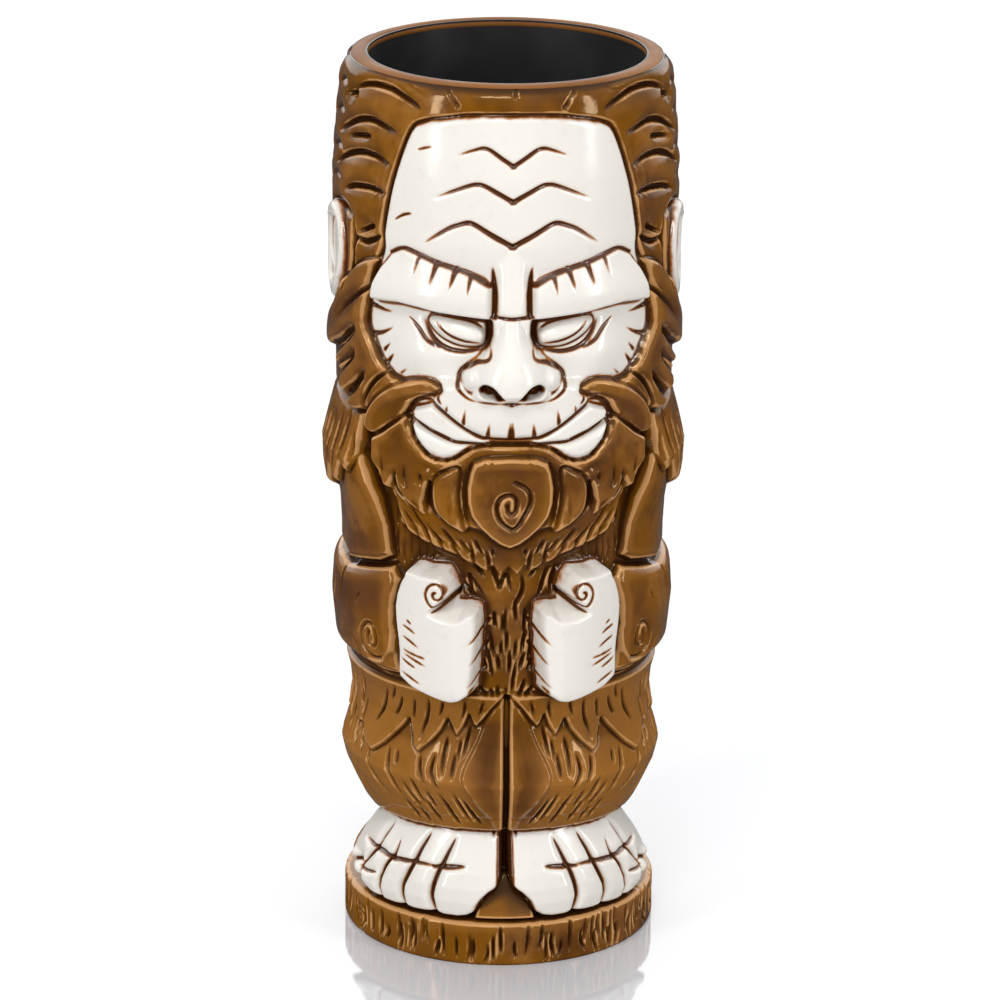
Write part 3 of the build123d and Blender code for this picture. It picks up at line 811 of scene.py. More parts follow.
def sculpt_upper_arm(piece, side):
    def sleeve(s, z, depth):
        flat = 0.7 * np.cos(np.clip((np.abs(s) - 36.5) / 9.0, -1, 1) * np.pi / 2)
        return along([(79, 32.6), (84, 32.6), (90, 32.9), (98, 34.2), (112, 33.6)], z) - 0.4 + flat

    def shoulder(s, z, depth):
        return along([(90, 34.6), (94, 35.5), (98, 36.0), (102, 36.2), (107, 35.0), (113, 33.4)], z)

    outline = [*seen(33.4, *UPPER_ARM), round_arc(80, 113.5), round_arc(ARM_BACK, 113.5)]
    outline += [round_arc(ARM_BACK, 80.0), round_arc(80, 79.8)]
    outline += [*seen(33.4, (32.0, 79.9), (29.0, 81.3), (26.1, 82.2))]
    raise_mass(piece, sided(outline, side), sleeve, wall=0.8, edge=1.6, groove=0.6)
    cap = sided([round_arc(*point) for point in SHOULDER_CAP], side)
    raise_mass(piece, cap, shoulder, wall=1.0, edge=1.8, groove=0.4, over=[piece])
    arm_strokes(SHOULDER_STROKES, -0.5, side, (1.9, 0.5), 0.5, 0.85, piece)
    carve(on_side(33.2, [(23.6, 84.6), (26.1, 83.6), (29, 82.7), (32, 81.3)], side), 0.35, 0.3, "none")


def sculpt_forearm(piece, side):
    def muscle(s, z, depth):
        elbow = 0.9 * np.exp(-(((np.abs(s) - 32) / 7) ** 2) - ((z - 66) / 6) ** 2)
        return along([(58, 32.6), (62, 33.4), (70, 34.2), (76, 33.8), (80, 33.0)], z) + elbow

    outline = [*seen(34.0, *FOREARM), round_arc(80, 79.0), round_arc(ARM_BACK, 79.2), round_arc(ARM_BACK, 60)]
    outline += [round_arc(100, 59.2), round_arc(80, 59.4), *seen(34.0, (29.6, 60.4), (25.6, 59.4))]
    raise_mass(piece, sided(outline, side), muscle, wall=1.0, edge=2.4, groove=0.7)
    carve_lines(FOREARM_LINES, side)
    arm_strokes(FOREARM_STROKES, 1, side, (1.8, 0.4), 0.45, 0.7, piece)


def sculpt_arms():
    for name, side in SIDES.items():
        sculpt_upper_arm(f"upper_arm_{name}", side)
        sculpt_forearm(f"forearm_{name}", side)


HAND_BACK = [(19.9, 83.0), (18.4, 84.6), (17.2, 84.8), (15.6, 84.4)]
HAND_TOP = [
    (12.2, 84.3), (11.0, 82.4), (10.6, 80.9), (10.2, 79.6), (10.1, 77.6), (10.1, 77.6), (8.0, 77.5),
    (6.4, 77.2), (5.4, 76.8), (5.4, 76.8),
]
HAND_INNER = [(5.0, 74.5), (5.1, 72.0), (5.4, 67.2), (5.8, 62.4), (6.0, 60.2)]
HAND_LOW = [(7.4, 57.9), (9.3, 56.5), (11.2, 56.0), (13.3, 56.3), (16.3, 57.0), (19.2, 57.7), (20.8, 58.5)]
HAND_SIDE = [
    (21.8, 59.9), (22.0, 61.9), (22.0, 65.7), (22.2, 67.7), (22.6, 70.1), (22.9, 72.4), (23.0, 74.8),
    (22.6, 77.4), (21.7, 80.2), (20.7, 82.1),
]
THUMB = [
    (19.7, 84.4), (17.8, 86.4), (13.0, 85.4), (11.6, 80.0), (12.4, 78.0), (15.0, 76.6), (19, 77.8),
    (23.6, 79.4), (22.0, 83.2),
]
THUMB_CURL = [
    (12.8, 77.1), (14.0, 75.9), (15.4, 76.1), (16.3, 77.4), (16.4, 78.9), (15.6, 80.3), (14.4, 80.9),
    (13.4, 80.5), (12.9, 79.3), (13.3, 78.1), (14.2, 77.6), (14.9, 78.0), (14.9, 78.9), (14.3, 79.1),
]
FINGER_LINES = [
    ([(4.6, 71.9), (6.8, 70.2), (8.9, 68.0)], 0.5),
    ([(5.1, 67.2), (6.8, 65.6), (8.3, 64.2)], 0.5),
    ([(5.4, 62.2), (7.2, 60.8), (9.0, 59.7)], 0.45),
    ([(7.6, 59.2), (8.2, 57.7)], 0.3),
]
KNUCKLE_LINES = [
    [(21.6, 70.9), (19.6, 70.3), (18.1, 69.6)],
    [(20.6, 72.2), (19.1, 71.4)],
    [(21.4, 68.6), (19.2, 67.8), (17.5, 67.0)],
    [(21.4, 65.8), (18.2, 65.3), (15.5, 65.2)],
    [(21.2, 65.0), (18.2, 64.2), (15.8, 63.5)],
    [(21.8, 64.0), (20.0, 63.2), (18.0, 62.6)],
    [(21.7, 61.1), (19.2, 60.3), (17.0, 59.5)],
]


def fist(s, z, depth):
    """A boxy fist: two faces meeting at the knuckles, a ledge on top, and the thumb curled over it."""
    across = np.abs(s)
    front = 39.3 - 0.36 * np.maximum(9.2 - across, 0) - 0.052 * np.maximum(across - 9.4, 0) ** 1.6
    front = front - 0.10 * np.maximum(60.5 - z, 0) ** 1.6 - 3.6 * np.maximum(z - 83.3, 0)
    knuckles = 74.7 + 0.62 * np.maximum(9.0 - across, 0) + 0.20 * np.maximum(across - 11.5, 0)
    ledge = 39.4 - 2.8 * np.maximum(z - knuckles, 0)
    beside = 10.0 + 0.95 * np.maximum(80.3 - z, 0)
    thumb = smooth_step(0.2 + (across - beside) / 0.9)
    return np.minimum(front, ledge) * (1 - thumb) + front * thumb


def sculpt_hands():
    low, outer = seen(37.6, *HAND_LOW), seen(36.4, *HAND_SIDE)
    outline = np.vstack([seen(33.4, *HAND_BACK), HAND_TOP, seen(32.8, *HAND_INNER), low, outer])
    for name, side in SIDES.items():
        hand = f"hand_{name}"
        raise_mass(hand, sided(outline, side), fist, wall=1.1, edge=0.8, foot=0.15, groove=0.2, skirt=0.55)
        relabel(f"thumb_{name}", on_side(36.5, THUMB, side), over=[hand])
        carve(on_side(38.6, THUMB_CURL, side), 0.26, 0.5, "none")
        for line, width in FINGER_LINES:
            carve(on_side(38.2, line, side), width, width * 1.5, "tip")
        for line in KNUCKLE_LINES:
            carve(on_side(38.0, line, side), 0.24, 0.32)


CHEST_MARKS = [
    ([(-11.8, 85.2), (-9.6, 82.4), (-7.4, 79.8), (-7.4, 79.8), (-7.7, 82.9), (-7.7, 82.9), (-6.4, 81.3),
      (-4.7, 78.8)], 0.5),
    ([(-3.7, 86.2), (-2.5, 82.9), (-1.8, 81.1), (-1.8, 81.1), (-1.0, 82.9), (-0.3, 83.3), (0.2, 81.6),
      (0.8, 79.6)], 0.55),
    ([(2.5, 83.6), (2.9, 81.6), (2.7, 80.0), (1.7, 77.9), (0.9, 76.2)], 0.55),
    ([(6.4, 87.3), (5.2, 84.9), (4.1, 82.6)], 0.5),
    ([(8.0, 85.3), (6.8, 81.7), (6.1, 78.8)], 0.5),
    ([(9.8, 85.6), (8.6, 82.5), (8.5, 79.4)], 0.5),
    ([(-7.1, 86.8), (-6.1, 84.8), (-4.9, 82.9)], 0.45),
    ([(11.8, 84.6), (10.8, 82.2), (10.9, 79.6)], 0.4),
]


def sculpt_chest(random):
    chest = ["chest_fur"]
    for line, width in CHEST_MARKS:
        tuft(seen(31.2, *line), (1.6, 0.4), width, 0.8, only=chest)
    for x in np.arange(-4.6, 4.7, 1.53):
        for z in np.arange(59.5, 78, 5.0):
            x0, z0 = x + random.uniform(-0.5, 0.5), z + random.uniform(-1.8, 1.8)
            lean = random.uniform(-0.4, 0.4) - 0.3 * x0 * (77 - z0) / 10
            half = random.uniform(1.7, 3.0)
            bend = random.uniform(-0.2, 0.2)
            line = seen(31, (x0 - 0.5 * lean, z0 + half), (x0 + bend, z0), (x0 + 0.5 * lean, z0 - half))
            tuft(line, (1.2, 0.5), random.uniform(0.32, 0.5), random.uniform(0.6, 0.85), only=chest)
    for side in SIDES.values():
        for x in (22.6, 21.4, 20.2, 19.0, 17.6, 16.2, 14.8):
            for z in (93.0, 87.4):
                x0, z0 = x + random.uniform(-0.2, 0.2), z - 0.25 * (22 - x) + random.uniform(-1, 1)
                line = on_side(31, [(x0, z0 + 3.2), (x0 + 0.3, z0), (x0 - 0.1, z0 - 3.2)], side)
                carve(line, random.uniform(0.25, 0.38), random.uniform(0.45, 0.7), only=chest)


def sculpt_back(random):
    for at in np.arange(119, 242, 5.0):
        for z in np.arange(60.5, 112, 6.4):
            at1, z1 = at + random.uniform(-1.4, 1.4), z + random.uniform(-1.8, 1.8)
            sway = random.uniform(-1.6, 1.6)
            s, _ = round_arc(at1, z1)
            line = [(s, z1 + 3.6), (s + 0.4 * sway, z1), (s + sway, z1 - 3.8)]
            tuft(line, (1.9, 0.45), 0.5, 0.75, only=["back_fur"])


def sculpt_fur():
    """Loose strokes of fur on the trunk."""
    random = np.random.default_rng(11)
    sculpt_chest(random)
    sculpt_back(random)


ZIGZAG = [
    (0.9, 57.9), (3.1, 55.2), (4.7, 53.0), (6.3, 51.2), (6.3, 51.2), (7.0, 52), (7.7, 54.0), (7.7, 54.0),
    (8.9, 51), (10.3, 49.0), (10.3, 49.0), (11.2, 50.8), (12.0, 52.6), (12.0, 52.6), (13.3, 50.0),
    (15.2, 47.4), (17.5, 45.0), (17.5, 45.0), (18.6, 46.2), (19.0, 48.4), (19.8, 51.3), (19.8, 51.3),
    (20.9, 49.5), (22.5, 47.3), (24.0, 45.1), (25.8, 43.0), (25.8, 43.0), (27.2, 44.6), (28.3, 47.2),
]
THIGH_STROKES = [
    ([(15.5, 57.3), (15.8, 53.4), (16.7, 50.0), (17.0, 47.8)], 0.42),
    ([(20.7, 56.2), (21.3, 54.0), (22.4, 51.4)], 0.42),
    ([(23.5, 57.4), (24.4, 53.2), (26.0, 48.9)], 0.42),
    ([(21.8, 58.3), (22.9, 54.6)], 0.3),
    ([(27.8, 53.2), (28.3, 49.3), (28.6, 45.4)], 0.42),
    ([(8.2, 57.4), (8.6, 54.8), (9.4, 52.2)], 0.35),
    ([(12.6, 57.0), (13.0, 55.0), (13.6, 53.0)], 0.3),
    ([(4.6, 57.6), (5.2, 55.4), (5.6, 53.6)], 0.35),
    ([(18.2, 56.4), (18.6, 53.6), (18.8, 51.4)], 0.3),
]
SHIN_STROKES = [
    ([(23.2, 44.9), (22.9, 41.0), (22.0, 38.1), (20.6, 34.9)], 0.5),
    ([(26.7, 43.3), (26.3, 39.7), (24.9, 36.7), (23.4, 34.4)], 0.45),
    ([(17.1, 44.6), (16.9, 41.6), (15.7, 38.6)], 0.42),
    ([(14.3, 45.2), (14.8, 41.9), (14.1, 39.9), (13.1, 38.0)], 0.5),
    ([(12.2, 48.9), (12.7, 45.0), (12.7, 41.2)], 0.5),
    ([(10.4, 45.9), (10.7, 42.5), (10.9, 40.6)], 0.48),
    ([(7.5, 51.5), (8.3, 48.1), (9.0, 45.0)], 0.4),
    ([(9.4, 48.6), (9.7, 46.2), (9.9, 44.2)], 0.35),
    ([(20.2, 38.8), (18.3, 34.9), (17.2, 32.6)], 0.42),
    ([(18.6, 40.0), (17.1, 36.1), (16.1, 34.2)], 0.42),
    ([(15.7, 37.6), (14.9, 35.6), (14.1, 33.4)], 0.4),
    ([(13.3, 37.4), (12.1, 34.9), (10.8, 31.9), (9.5, 29.9)], 0.45),
    ([(10.4, 37.8), (9.0, 34.2), (7.2, 30.6)], 0.45),
    ([(8.8, 37.0), (6.9, 32.7), (4.8, 30.3)], 0.45),
    ([(16.2, 35.6), (14.8, 32.3), (13.4, 29.8)], 0.42),
    ([(20.6, 34.6), (19.2, 31.8), (18.2, 29.6)], 0.42),
    ([(11.6, 33.4), (10.6, 31.4), (9.8, 30.0)], 0.35),
    ([(18.2, 33.2), (17.0, 31.2), (16.2, 29.4)], 0.38),
    ([(21.6, 44.6), (21.4, 41.6)], 0.3),
    ([(7.6, 34.6), (6.2, 31.8), (5.2, 30.2)], 0.35),
]
DIAMOND = [
    (0.3, 58), (2.7, 54.9), (4.4, 51.9), (6.3, 47.2), (7.8, 43.9), (8.5, 41.2), (7.6, 38.6), (5.8, 35.7),
    (3.8, 33.0), (2.2, 29.6), (0.3, 28.6),
]


CALF_LINE = [
    (23.0, 34.8), (20.1, 34.1), (18.1, 34.2), (16.1, 34.9), (13.2, 34.8), (11.2, 35.2), (8.8, 35.7),
]
LEG_SPLIT = [(0, 59.6), (0, 45), (0, 23.0)]


def pointed_hem(random):
    """The outline of the thigh's fur, whose lower edge is drawn in front and ragged behind."""
    behind = []
    for at in np.arange(74, 180, 7.5):
        behind.append(round_arc(at, 43.4 + random.uniform(-1, 2.5)))
        behind.append(round_arc(at + 3.4, 49.6 + random.uniform(-1, 1.5)))
    top = [round_arc(181, 48), round_arc(181, 57.4)]
    return np.vstack([seen(31.0, *ZIGZAG), behind, top, seen(30, (0.5, 59.4))])


def loose_leg_fur(random, leg, side):
    for at in np.arange(66, 178, 4.6):
        for z in (33.5, 41.0, 51.5):
            at1, z1 = at + random.uniform(-1.2, 1.2), z + random.uniform(-2.0, 2.0)
            s, _ = round_arc(side * at1, z1)
            sway = side * (random.uniform(0.4, 2.0) if z1 < 46 else random.uniform(-1.2, 0.4))
            line = [(s, z1 + 3.2), (s - 0.2 * sway, z1), (s - sway, z1 - 3.4)]
            tuft(line, (1.5, 0.35), random.uniform(0.36, 0.48), random.uniform(0.6, 0.8), only=[leg])


def sculpt_legs():
    def knee(s, z, depth):
        return along(LEGS, z) + 0.35 - 0.9 * smooth_step(depth / 6)

    def pelt(s, z, depth):
        return along(LEGS, z) + 0.9

    random = np.random.default_rng(5)
    for name, side in SIDES.items():
        leg = f"leg_{name}"
        raise_mass(leg, on_side(31.2, DIAMOND, side), knee, wall=0.5, edge=0.3)
        carve(on_side(31.4, DIAMOND[1:-2], side), 0.5, -0.25, "none")
        thigh = sided(pointed_hem(random), side)
        raise_mass(leg, thigh, pelt, wall=0.8, edge=1.0, groove=0.45, over=[leg])
        for line, width in THIGH_STROKES:
            tuft(on_side(30.8, line, side), (1.5, 0.3), width, 0.7, only=[leg])
        for line, width in SHIN_STROKES:
            tuft(on_side(31.2, line, side), (1.3, 0.28), width, 0.8, only=[leg])
        loose_leg_fur(random, leg, side)
        carve(on_side(30.4, CALF_LINE, side), 0.22, 0.3)
    carve(LEG_SPLIT, 0.95, 2.2, "none", only=["leg_left", "leg_right"])


FOOT = [
    (8, 30.2), (10, 31.0), (13, 31.5), (16, 31.4), (19, 30.6), (22, 29.2), (25, 27.5), (28, 25.6),
    (31, 24.0), (38, 22.0),
]
FOOT_EDGE = [
    (26.3, 12.0), (23.6, 11.4), (22.0, 11.3), (19.8, 11.7), (18.0, 11.3), (16.0, 11.3), (13.6, 11.6),
    (12.1, 11.1), (9.5, 11.0), (7.3, 11.5), (5.9, 12.4), (5.3, 13.9), (4.7, 15.0), (3.2, 16.6), (1.9, 17.5),
    (1.0, 18.6), (0.4, 20.1),
]
TOES = [
    (27.2, 21.2), (23, 21.1), (18.5, 21.6), (13.6, 21.9), (8, 22.2), (0.4, 22.2), (0.4, 19), (3.2, 16),
    (5.4, 11.4), (9.5, 10.4), (13.6, 11.4), (14.2, 14.1), (13.6, 10.6), (20, 10.6), (24.2, 10.6),
    (27.6, 11.4), (28.4, 14.6), (28.6, 16.7), (28.2, 18.9),
]
TOE_GAPS = [
    ([(11.0, 26.6), (12.1, 24.0), (12.9, 21.7), (13.5, 20.3), (14.1, 18.1), (14.5, 15.8), (14.3, 14.1),
      (13.6, 11.4)], 0.5),
    ([(16.5, 27.0), (17.7, 24.2), (18.5, 21.5), (19.2, 19.5), (19.8, 17.6), (20.2, 16.2), (20.2, 14.3),
      (19.7, 11.6)], 0.5),
    ([(22.7, 24.2), (23.0, 21.4), (23.7, 20.3), (24.4, 18.3), (24.7, 15.9), (24.7, 13.8), (24.1, 11.4)],
      0.5),
    ([(25.8, 26.4), (26.7, 23.7), (27.1, 21.4), (28.1, 18.9), (28.5, 16.7), (28.3, 14.6), (27.4, 12.2)],
      0.5),
    ([(30.4, 17.2), (29.4, 17.8), (28.5, 17.5)], 0.3),
]
JOINTS = [
    ([(29.4, 22.4), (28.7, 22.0), (26.9, 21.4), (25.0, 21.4), (23.0, 20.9), (21.0, 21.2), (18.6, 21.4),
      (16.1, 21.6), (13.6, 21.6)], 0.45),
    ([(14.9, 21.3), (13.1, 21.4), (11.1, 21.6), (7.9, 22.0)], 0.5),
    ([(28.4, 17.2), (26.9, 16.8), (24.9, 17.3)], 0.28),
    ([(5.3, 30.0), (6.0, 28.6)], 0.4),
    ([(2.3, 30.2), (2.6, 27.6)], 0.4),
]


HEEL_SIDE = [(60, 27.0), (86, 23), (89, 19), (88, 15), (80, 12.2), (68, 11.0)]
LITTLE_TOE = [(64.5, 20.6), (88.5, 21.5), (88.5, 10.4), (62, 10.4), (65.5, 14.6), (67, 17)]
HEEL = [(94, 17.6), (104, 19), (118, 20.5), (178, 21), (177, 9.9), (95, 9.9)]
ARCH = [(0, 20.4), (1.0, 18.8), (3.2, 16.8), (5.0, 14.8), (6.0, 12.0), (7.0, 9.4), (0, 9.4)]
FEET_SPLIT = [(0.3, 30), (0.3, 17)]


def sculpt_foot(name, side, ground):
    def instep(s, z, depth):
        fall = 6.6 * smooth_step((np.abs(s) / ARC_RADIUS - 0.5) / 1.0)
        return along(FOOT, z + fall * np.clip((z - 9.6) / 5.5, 0, 1))

    foot, toes = f"foot_{name}", f"toes_{name}"
    outer = [round_arc(*point) for point in HEEL_SIDE]
    outline = [*seen(27.0, (0.4, 33.6), (20, 33.6)), *outer, *seen(30.6, *FOOT_EDGE)]
    raise_mass(foot, sided(outline, side), instep, wall=0.8, edge=1.3, groove=0.25, over=ground)
    relabel(toes, on_side(31.0, TOES, side), over=[foot])
    relabel(toes, sided([round_arc(*point) for point in LITTLE_TOE], side), over=[foot])
    for line, width in TOE_GAPS:
        tuft(on_side(30.7, line, side), (2.6, 1.25), width * 1.1, 0.95, only=[foot, toes])
    for line, width in JOINTS:
        tuft(on_side(30.2, line, side), (1.9, 0.55), width * 1.15, 0.8, only=[foot, toes])
    for width, depth in ((1.0, 1.3), (2.1, 0.05)):  # the groove between the feet, and a stain beside it
        carve(sided(FEET_SPLIT, side), width, depth, "none", only=[foot, toes])


def sculpt_heel(heel, side, ground):
    def slope(s, z, depth):
        return 25.0 + 5.0 * smooth_step((20.5 - z) / 9)

    outline = sided([round_arc(*point) for point in HEEL], side)
    raise_mass(heel, outline, slope, wall=0.8, edge=1.6, groove=0.4, over=ground)
    for k, at in enumerate(np.arange(99, 176, 5.2)):
        s, _ = round_arc(at, 0)
        low = 11.0 + 1.6 * (k % 3)
        line = sided([(s, low + 5.5 - (k % 2)), (s + 0.4, low + 2.6), (s + 0.2, low)], side)
        tuft(line, (1.7, 0.4), 0.45, 0.7, only=[heel])


def sculpt_feet():
    def arch_slope(s, z, depth):
        return 31.2 - 0.62 * (z - 9.2)

    ground = ["heel_left", "heel_right"]
    for name, side in SIDES.items():
        sculpt_foot(name, side, ground)
        sculpt_heel(f"heel_{name}", side, ground)
    raise_mass("base_plinth", both(seen(29.5, *ARCH)), arch_slope, wall=0.4, edge=0.0, over=ground)


def sculpt_plinth():
    """Bark strokes all round the plinth, and a knot of three rings in front."""
    random = np.random.default_rng(3)
    plinth = ["base_plinth"]
    at = -180.0
    while at < 178:
        top, bottom = random.uniform(7.6, 9.6), random.uniform(0.6, 3.8)
        if random.random() < 0.35:
            top, bottom = random.uniform(4.5, 7.0), random.uniform(0.2, 1.4)
        s, _ = round_arc(at, 0)
        lean = random.uniform(-0.8, 0.8)
        line = [(s, top), (s + random.uniform(-0.3, 0.3), 0.5 * (top + bottom)), (s + lean, bottom)]
        tuft(line, (1.4, 0.35), random.uniform(0.28, 0.6), random.uniform(0.5, 1.0), only=plinth)
        at += random.choice([1.3, 2.4, 3.6, 5.2])
    knot = seen(31.5, (-28.6, 6.8))[0]
    turn = np.linspace(0, 2 * np.pi, 17)
    for size in (0.8, 1.9, 3.0):
        ring = np.stack([knot[0] + 0.75 * size * np.cos(turn), knot[1] - 1.2 + size * np.sin(turn)], 1)
        carve(ring, 0.25, 0.4, "none")


def blur_matrix(x, sigma, period=None):
    """Gaussian weights between samples at x, each counted by the room it takes up."""
    gap = x[:, None] - x[None, :]
    if period:
        gap = (gap + period / 2) % period - period / 2
        room = np.diff(np.concatenate([x, [x[0] + period]]))
        room = 0.5 * (room + np.roll(room, 1))
    else:
        room = np.gradient(x)
    weights = np.exp(-0.5 * (gap / sigma) ** 2) * room[None, :]
    return weights / weights.sum(1, keepdims=True)


def blur(field, sigma):
    rows = blur_matrix(Z[:, 0], sigma)
    columns = blur_matrix(S[0], sigma, ROUND)
    return rows @ field @ columns.T


lay_ground()
sculpt_face()
sculpt_mouth()
sculpt_eyes()
sculpt_brows()
sculpt_nose()
sculpt_wrinkles()
sculpt_arms()
sculpt_beard()
sculpt_sideburns()
sculpt_moustache()
sculpt_chin()
sculpt_hair()
sculpt_ears()
sculpt_legs()
sculpt_hands()
sculpt_fur()
sculpt_feet()
sculpt_plinth()

WHITE = ("face_plate", "nose", "muzzle", "brow", "eyelid", "upper_lip", "lower_lip", "ear")
WHITE += ("hand", "thumb", "foot", "toes")
is_white = np.isin(label, [k for name, k in LABEL.items() if name.startswith(WHITE)])
carved = blur(radius - cut - dip + ridge, GLAZE_SOFTNESS)
steep = np.hypot(np.gradient(carved, Z[:, 0], axis=0), np.gradient(carved, S[0], axis=1))
flat = 1 / (1 + (steep / 2.8) ** 4)
low = np.where(Z < 90, np.minimum(carved, 34.0), carved)
fields = {
    "white": blur(is_white.astype(float), 0.55),
    "ink": blur(ink, 0.2),
    # crest: convex edges, which the brown glaze paints tan, partly as thin glaze and partly as a painted
    # highlight
    "crest": (carved - blur(carved, 0.28)) * flat,
    "groove": (blur(carved, 0.5) - carved) * flat,
    # hollow: broad hollows and swells; pooled glaze with painted shade in the hollows, thinner glaze with
    # painted light on the swells
    "hollow_shading": blur(low, 1.8) - low,
}


# ---- meshes -------------------------------------------------------------------------------------
def place(r, angle, z):
    return np.stack([r * np.sin(angle), -r * np.cos(angle), z + 0 * angle], -1) * MM


def surface_normals(points):
    """Normals of the whole relief, so that pieces meet without a seam in the shading."""
    east = np.roll(points, -1, 1) - np.roll(points, 1, 1)
    north = np.gradient(points, axis=0)
    normal = np.cross(east, north)
    return normal / np.linalg.norm(normal, axis=-1, keepdims=True)


OUTER = place(carved, ANGLE[None, :], Z)
INNER = place(along(BACKING, Z) + 0 * ANGLE[None, :], ANGLE[None, :], Z)
NORMALS = surface_normals(OUTER)
ROWS, COLUMNS = SHAPE
GRID = ROWS * COLUMNS
BLOCK = 6  # how many cells the large faces of a hidden back take in, each way


def new_object(name, points, faces, normals=None):
    mesh = bpy.data.meshes.new(name)
    sizes = np.array([len(f) for f in faces])
    mesh.vertices.add(len(points))
    mesh.vertices.foreach_set("co", np.asarray(points, np.float32).ravel())
    mesh.loops.add(int(sizes.sum()))
    mesh.loops.foreach_set("vertex_index", np.concatenate([np.asarray(f) for f in faces]).astype(np.int32))
    mesh.polygons.add(len(sizes))
    mesh.polygons.foreach_set("loop_start", np.concatenate([[0], np.cumsum(sizes)[:-1]]).astype(np.int32))
    mesh.polygons.foreach_set("use_smooth", np.ones(len(sizes), bool))
    mesh.update(calc_edges=True)
    mesh.validate()
    obj = bpy.data.objects.new(name, mesh)
    bpy.context.scene.collection.objects.link(obj)
    return obj


def back_faces(cells):
    """Faces for the hidden back of a piece, in large blocks where the piece fills them."""
    faces = []
    for j0 in range(0, ROWS - 1, BLOCK):
        rows = range(j0, min(j0 + BLOCK, ROWS - 1))
        for i0 in range(0, COLUMNS, BLOCK):
            columns = range(i0, min(i0 + BLOCK, COLUMNS))
            part = cells[rows.start : rows.stop, columns.start : columns.stop]
            if not part.any():
                continue
            j1, i1 = rows.stop, columns.stop
            around = cells[max(j0 - BLOCK, 0) : j1 + BLOCK, np.arange(i0 - BLOCK, i1 + BLOCK) % COLUMNS]
            if part.all() and around.all():
                faces.append(((j0, i0), (j1, i0), (j1, i1), (j0, i1)))
            elif part.all():
                ring = [(j, i0) for j in range(j0, j1)] + [(j1, i) for i in range(i0, i1)]
                ring += [(j, i1) for j in range(j1, j0, -1)] + [(j0, i) for i in range(i1, i0, -1)]
                faces.append(tuple(ring))
            else:
                for j, i in np.argwhere(part):
                    j, i = j + j0, i + i0
                    faces.append(((j, i), (j + 1, i), (j + 1, i + 1), (j, i + 1)))
    return faces


def build_piece(name):
    """The faces of one node's closed mesh: its part of the relief, its sides and a back by the wall.

    Their corners count through the relief's points and then through the same grid's hidden points."""
    cells = (label == LABEL[name])[:-1]
    j, i = np.nonzero(cells)
    after = (i + 1) % COLUMNS
    low, high = j * COLUMNS, (j + 1) * COLUMNS
    outer = np.stack([low + i, low + after, high + after, high + i], 1)
    padded = np.pad(cells, ((1, 1), (0, 0)))
    bare_edges = {
        (0, 1): ~padded[j, i],
        (2, 3): ~padded[j + 2, i],
        (1, 2): ~cells[j, after],
        (3, 0): ~cells[j, i - 1],
    }
    sides = []
    for (a, b), bare in bare_edges.items():
        start, end = outer[bare, a], outer[bare, b]
        sides.append(np.stack([end, start, start + GRID, end + GRID], 1))
    faces = [tuple(face) for face in np.vstack([outer, *sides])]
    for face in back_faces(cells):
        faces.append(tuple(GRID + row * COLUMNS + column % COLUMNS for row, column in face))
    return faces, len(outer)


def smooth_front(mesh, grid, shown):
    """Takes the normals of the shown faces from the whole relief, and leaves the others flat."""
    corners = np.zeros(len(mesh.loops), np.int32)
    mesh.loops.foreach_get("vertex_index", corners)
    flat = np.zeros(len(mesh.polygons) * 3, np.float32)
    mesh.polygons.foreach_get("normal", flat)
    totals = np.zeros(len(mesh.polygons), np.int32)
    mesh.polygons.foreach_get("loop_total", totals)
    normals = np.repeat(flat.reshape(-1, 3), totals, 0)
    normals[: 4 * shown] = NORMALS.reshape(-1, 3)[grid[corners[: 4 * shown]]]
    mesh.normals_split_custom_set(normals)


def stand_for(obj, node, slot):
    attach(obj, "root")
    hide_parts(node)


def finish_piece(name, slot):
    faces, shown = build_piece(name)
    used, index = np.unique(np.concatenate(faces), return_inverse=True)
    points = np.concatenate([OUTER.reshape(-1, 3), INNER.reshape(-1, 3)])[used]
    ends = np.cumsum([len(face) for face in faces])
    obj = new_object(f"{name}_cast", points, np.split(index, ends[:-1]))
    grid = used % GRID
    for key, field in fields.items():
        values = np.where(used < GRID, field.ravel()[grid], 0.0).astype(np.float32)
        obj.data.attributes.new(key, "FLOAT", "POINT").data.foreach_set("value", values)
    smooth_front(obj.data, grid, shown)
    obj.data.materials.append(GLAZES[slot])
    stand_for(obj, name, slot)


def lathe(name, profile, columns=360):
    """A closed ring turned from a closed (radius, height) profile."""
    angle = np.linspace(0, 2 * np.pi, columns, endpoint=False)
    r, z = np.array(profile).T
    points = place(r[:, None] + 0 * angle, angle[None, :] + 0 * r[:, None], z[:, None]).reshape(-1, 3)
    faces = []
    for a in range(len(r)):
        b = (a + 1) % len(r)
        for k in range(columns):
            n = (k + 1) % columns
            faces.append((a * columns + k, a * columns + n, b * columns + n, b * columns + k))
    return new_object(name, points, faces)


# ---- glazes -------------------------------------------------------------------------------------
def rgb(r, g, b):
    """A colour as seen on a screen, 0 to 255, in linear light."""
    c = np.array([r, g, b]) / 255
    linear = np.where(c <= 0.04045, c / 12.92, ((c + 0.055) / 1.055) ** 2.4)
    return (*linear, 1.0)


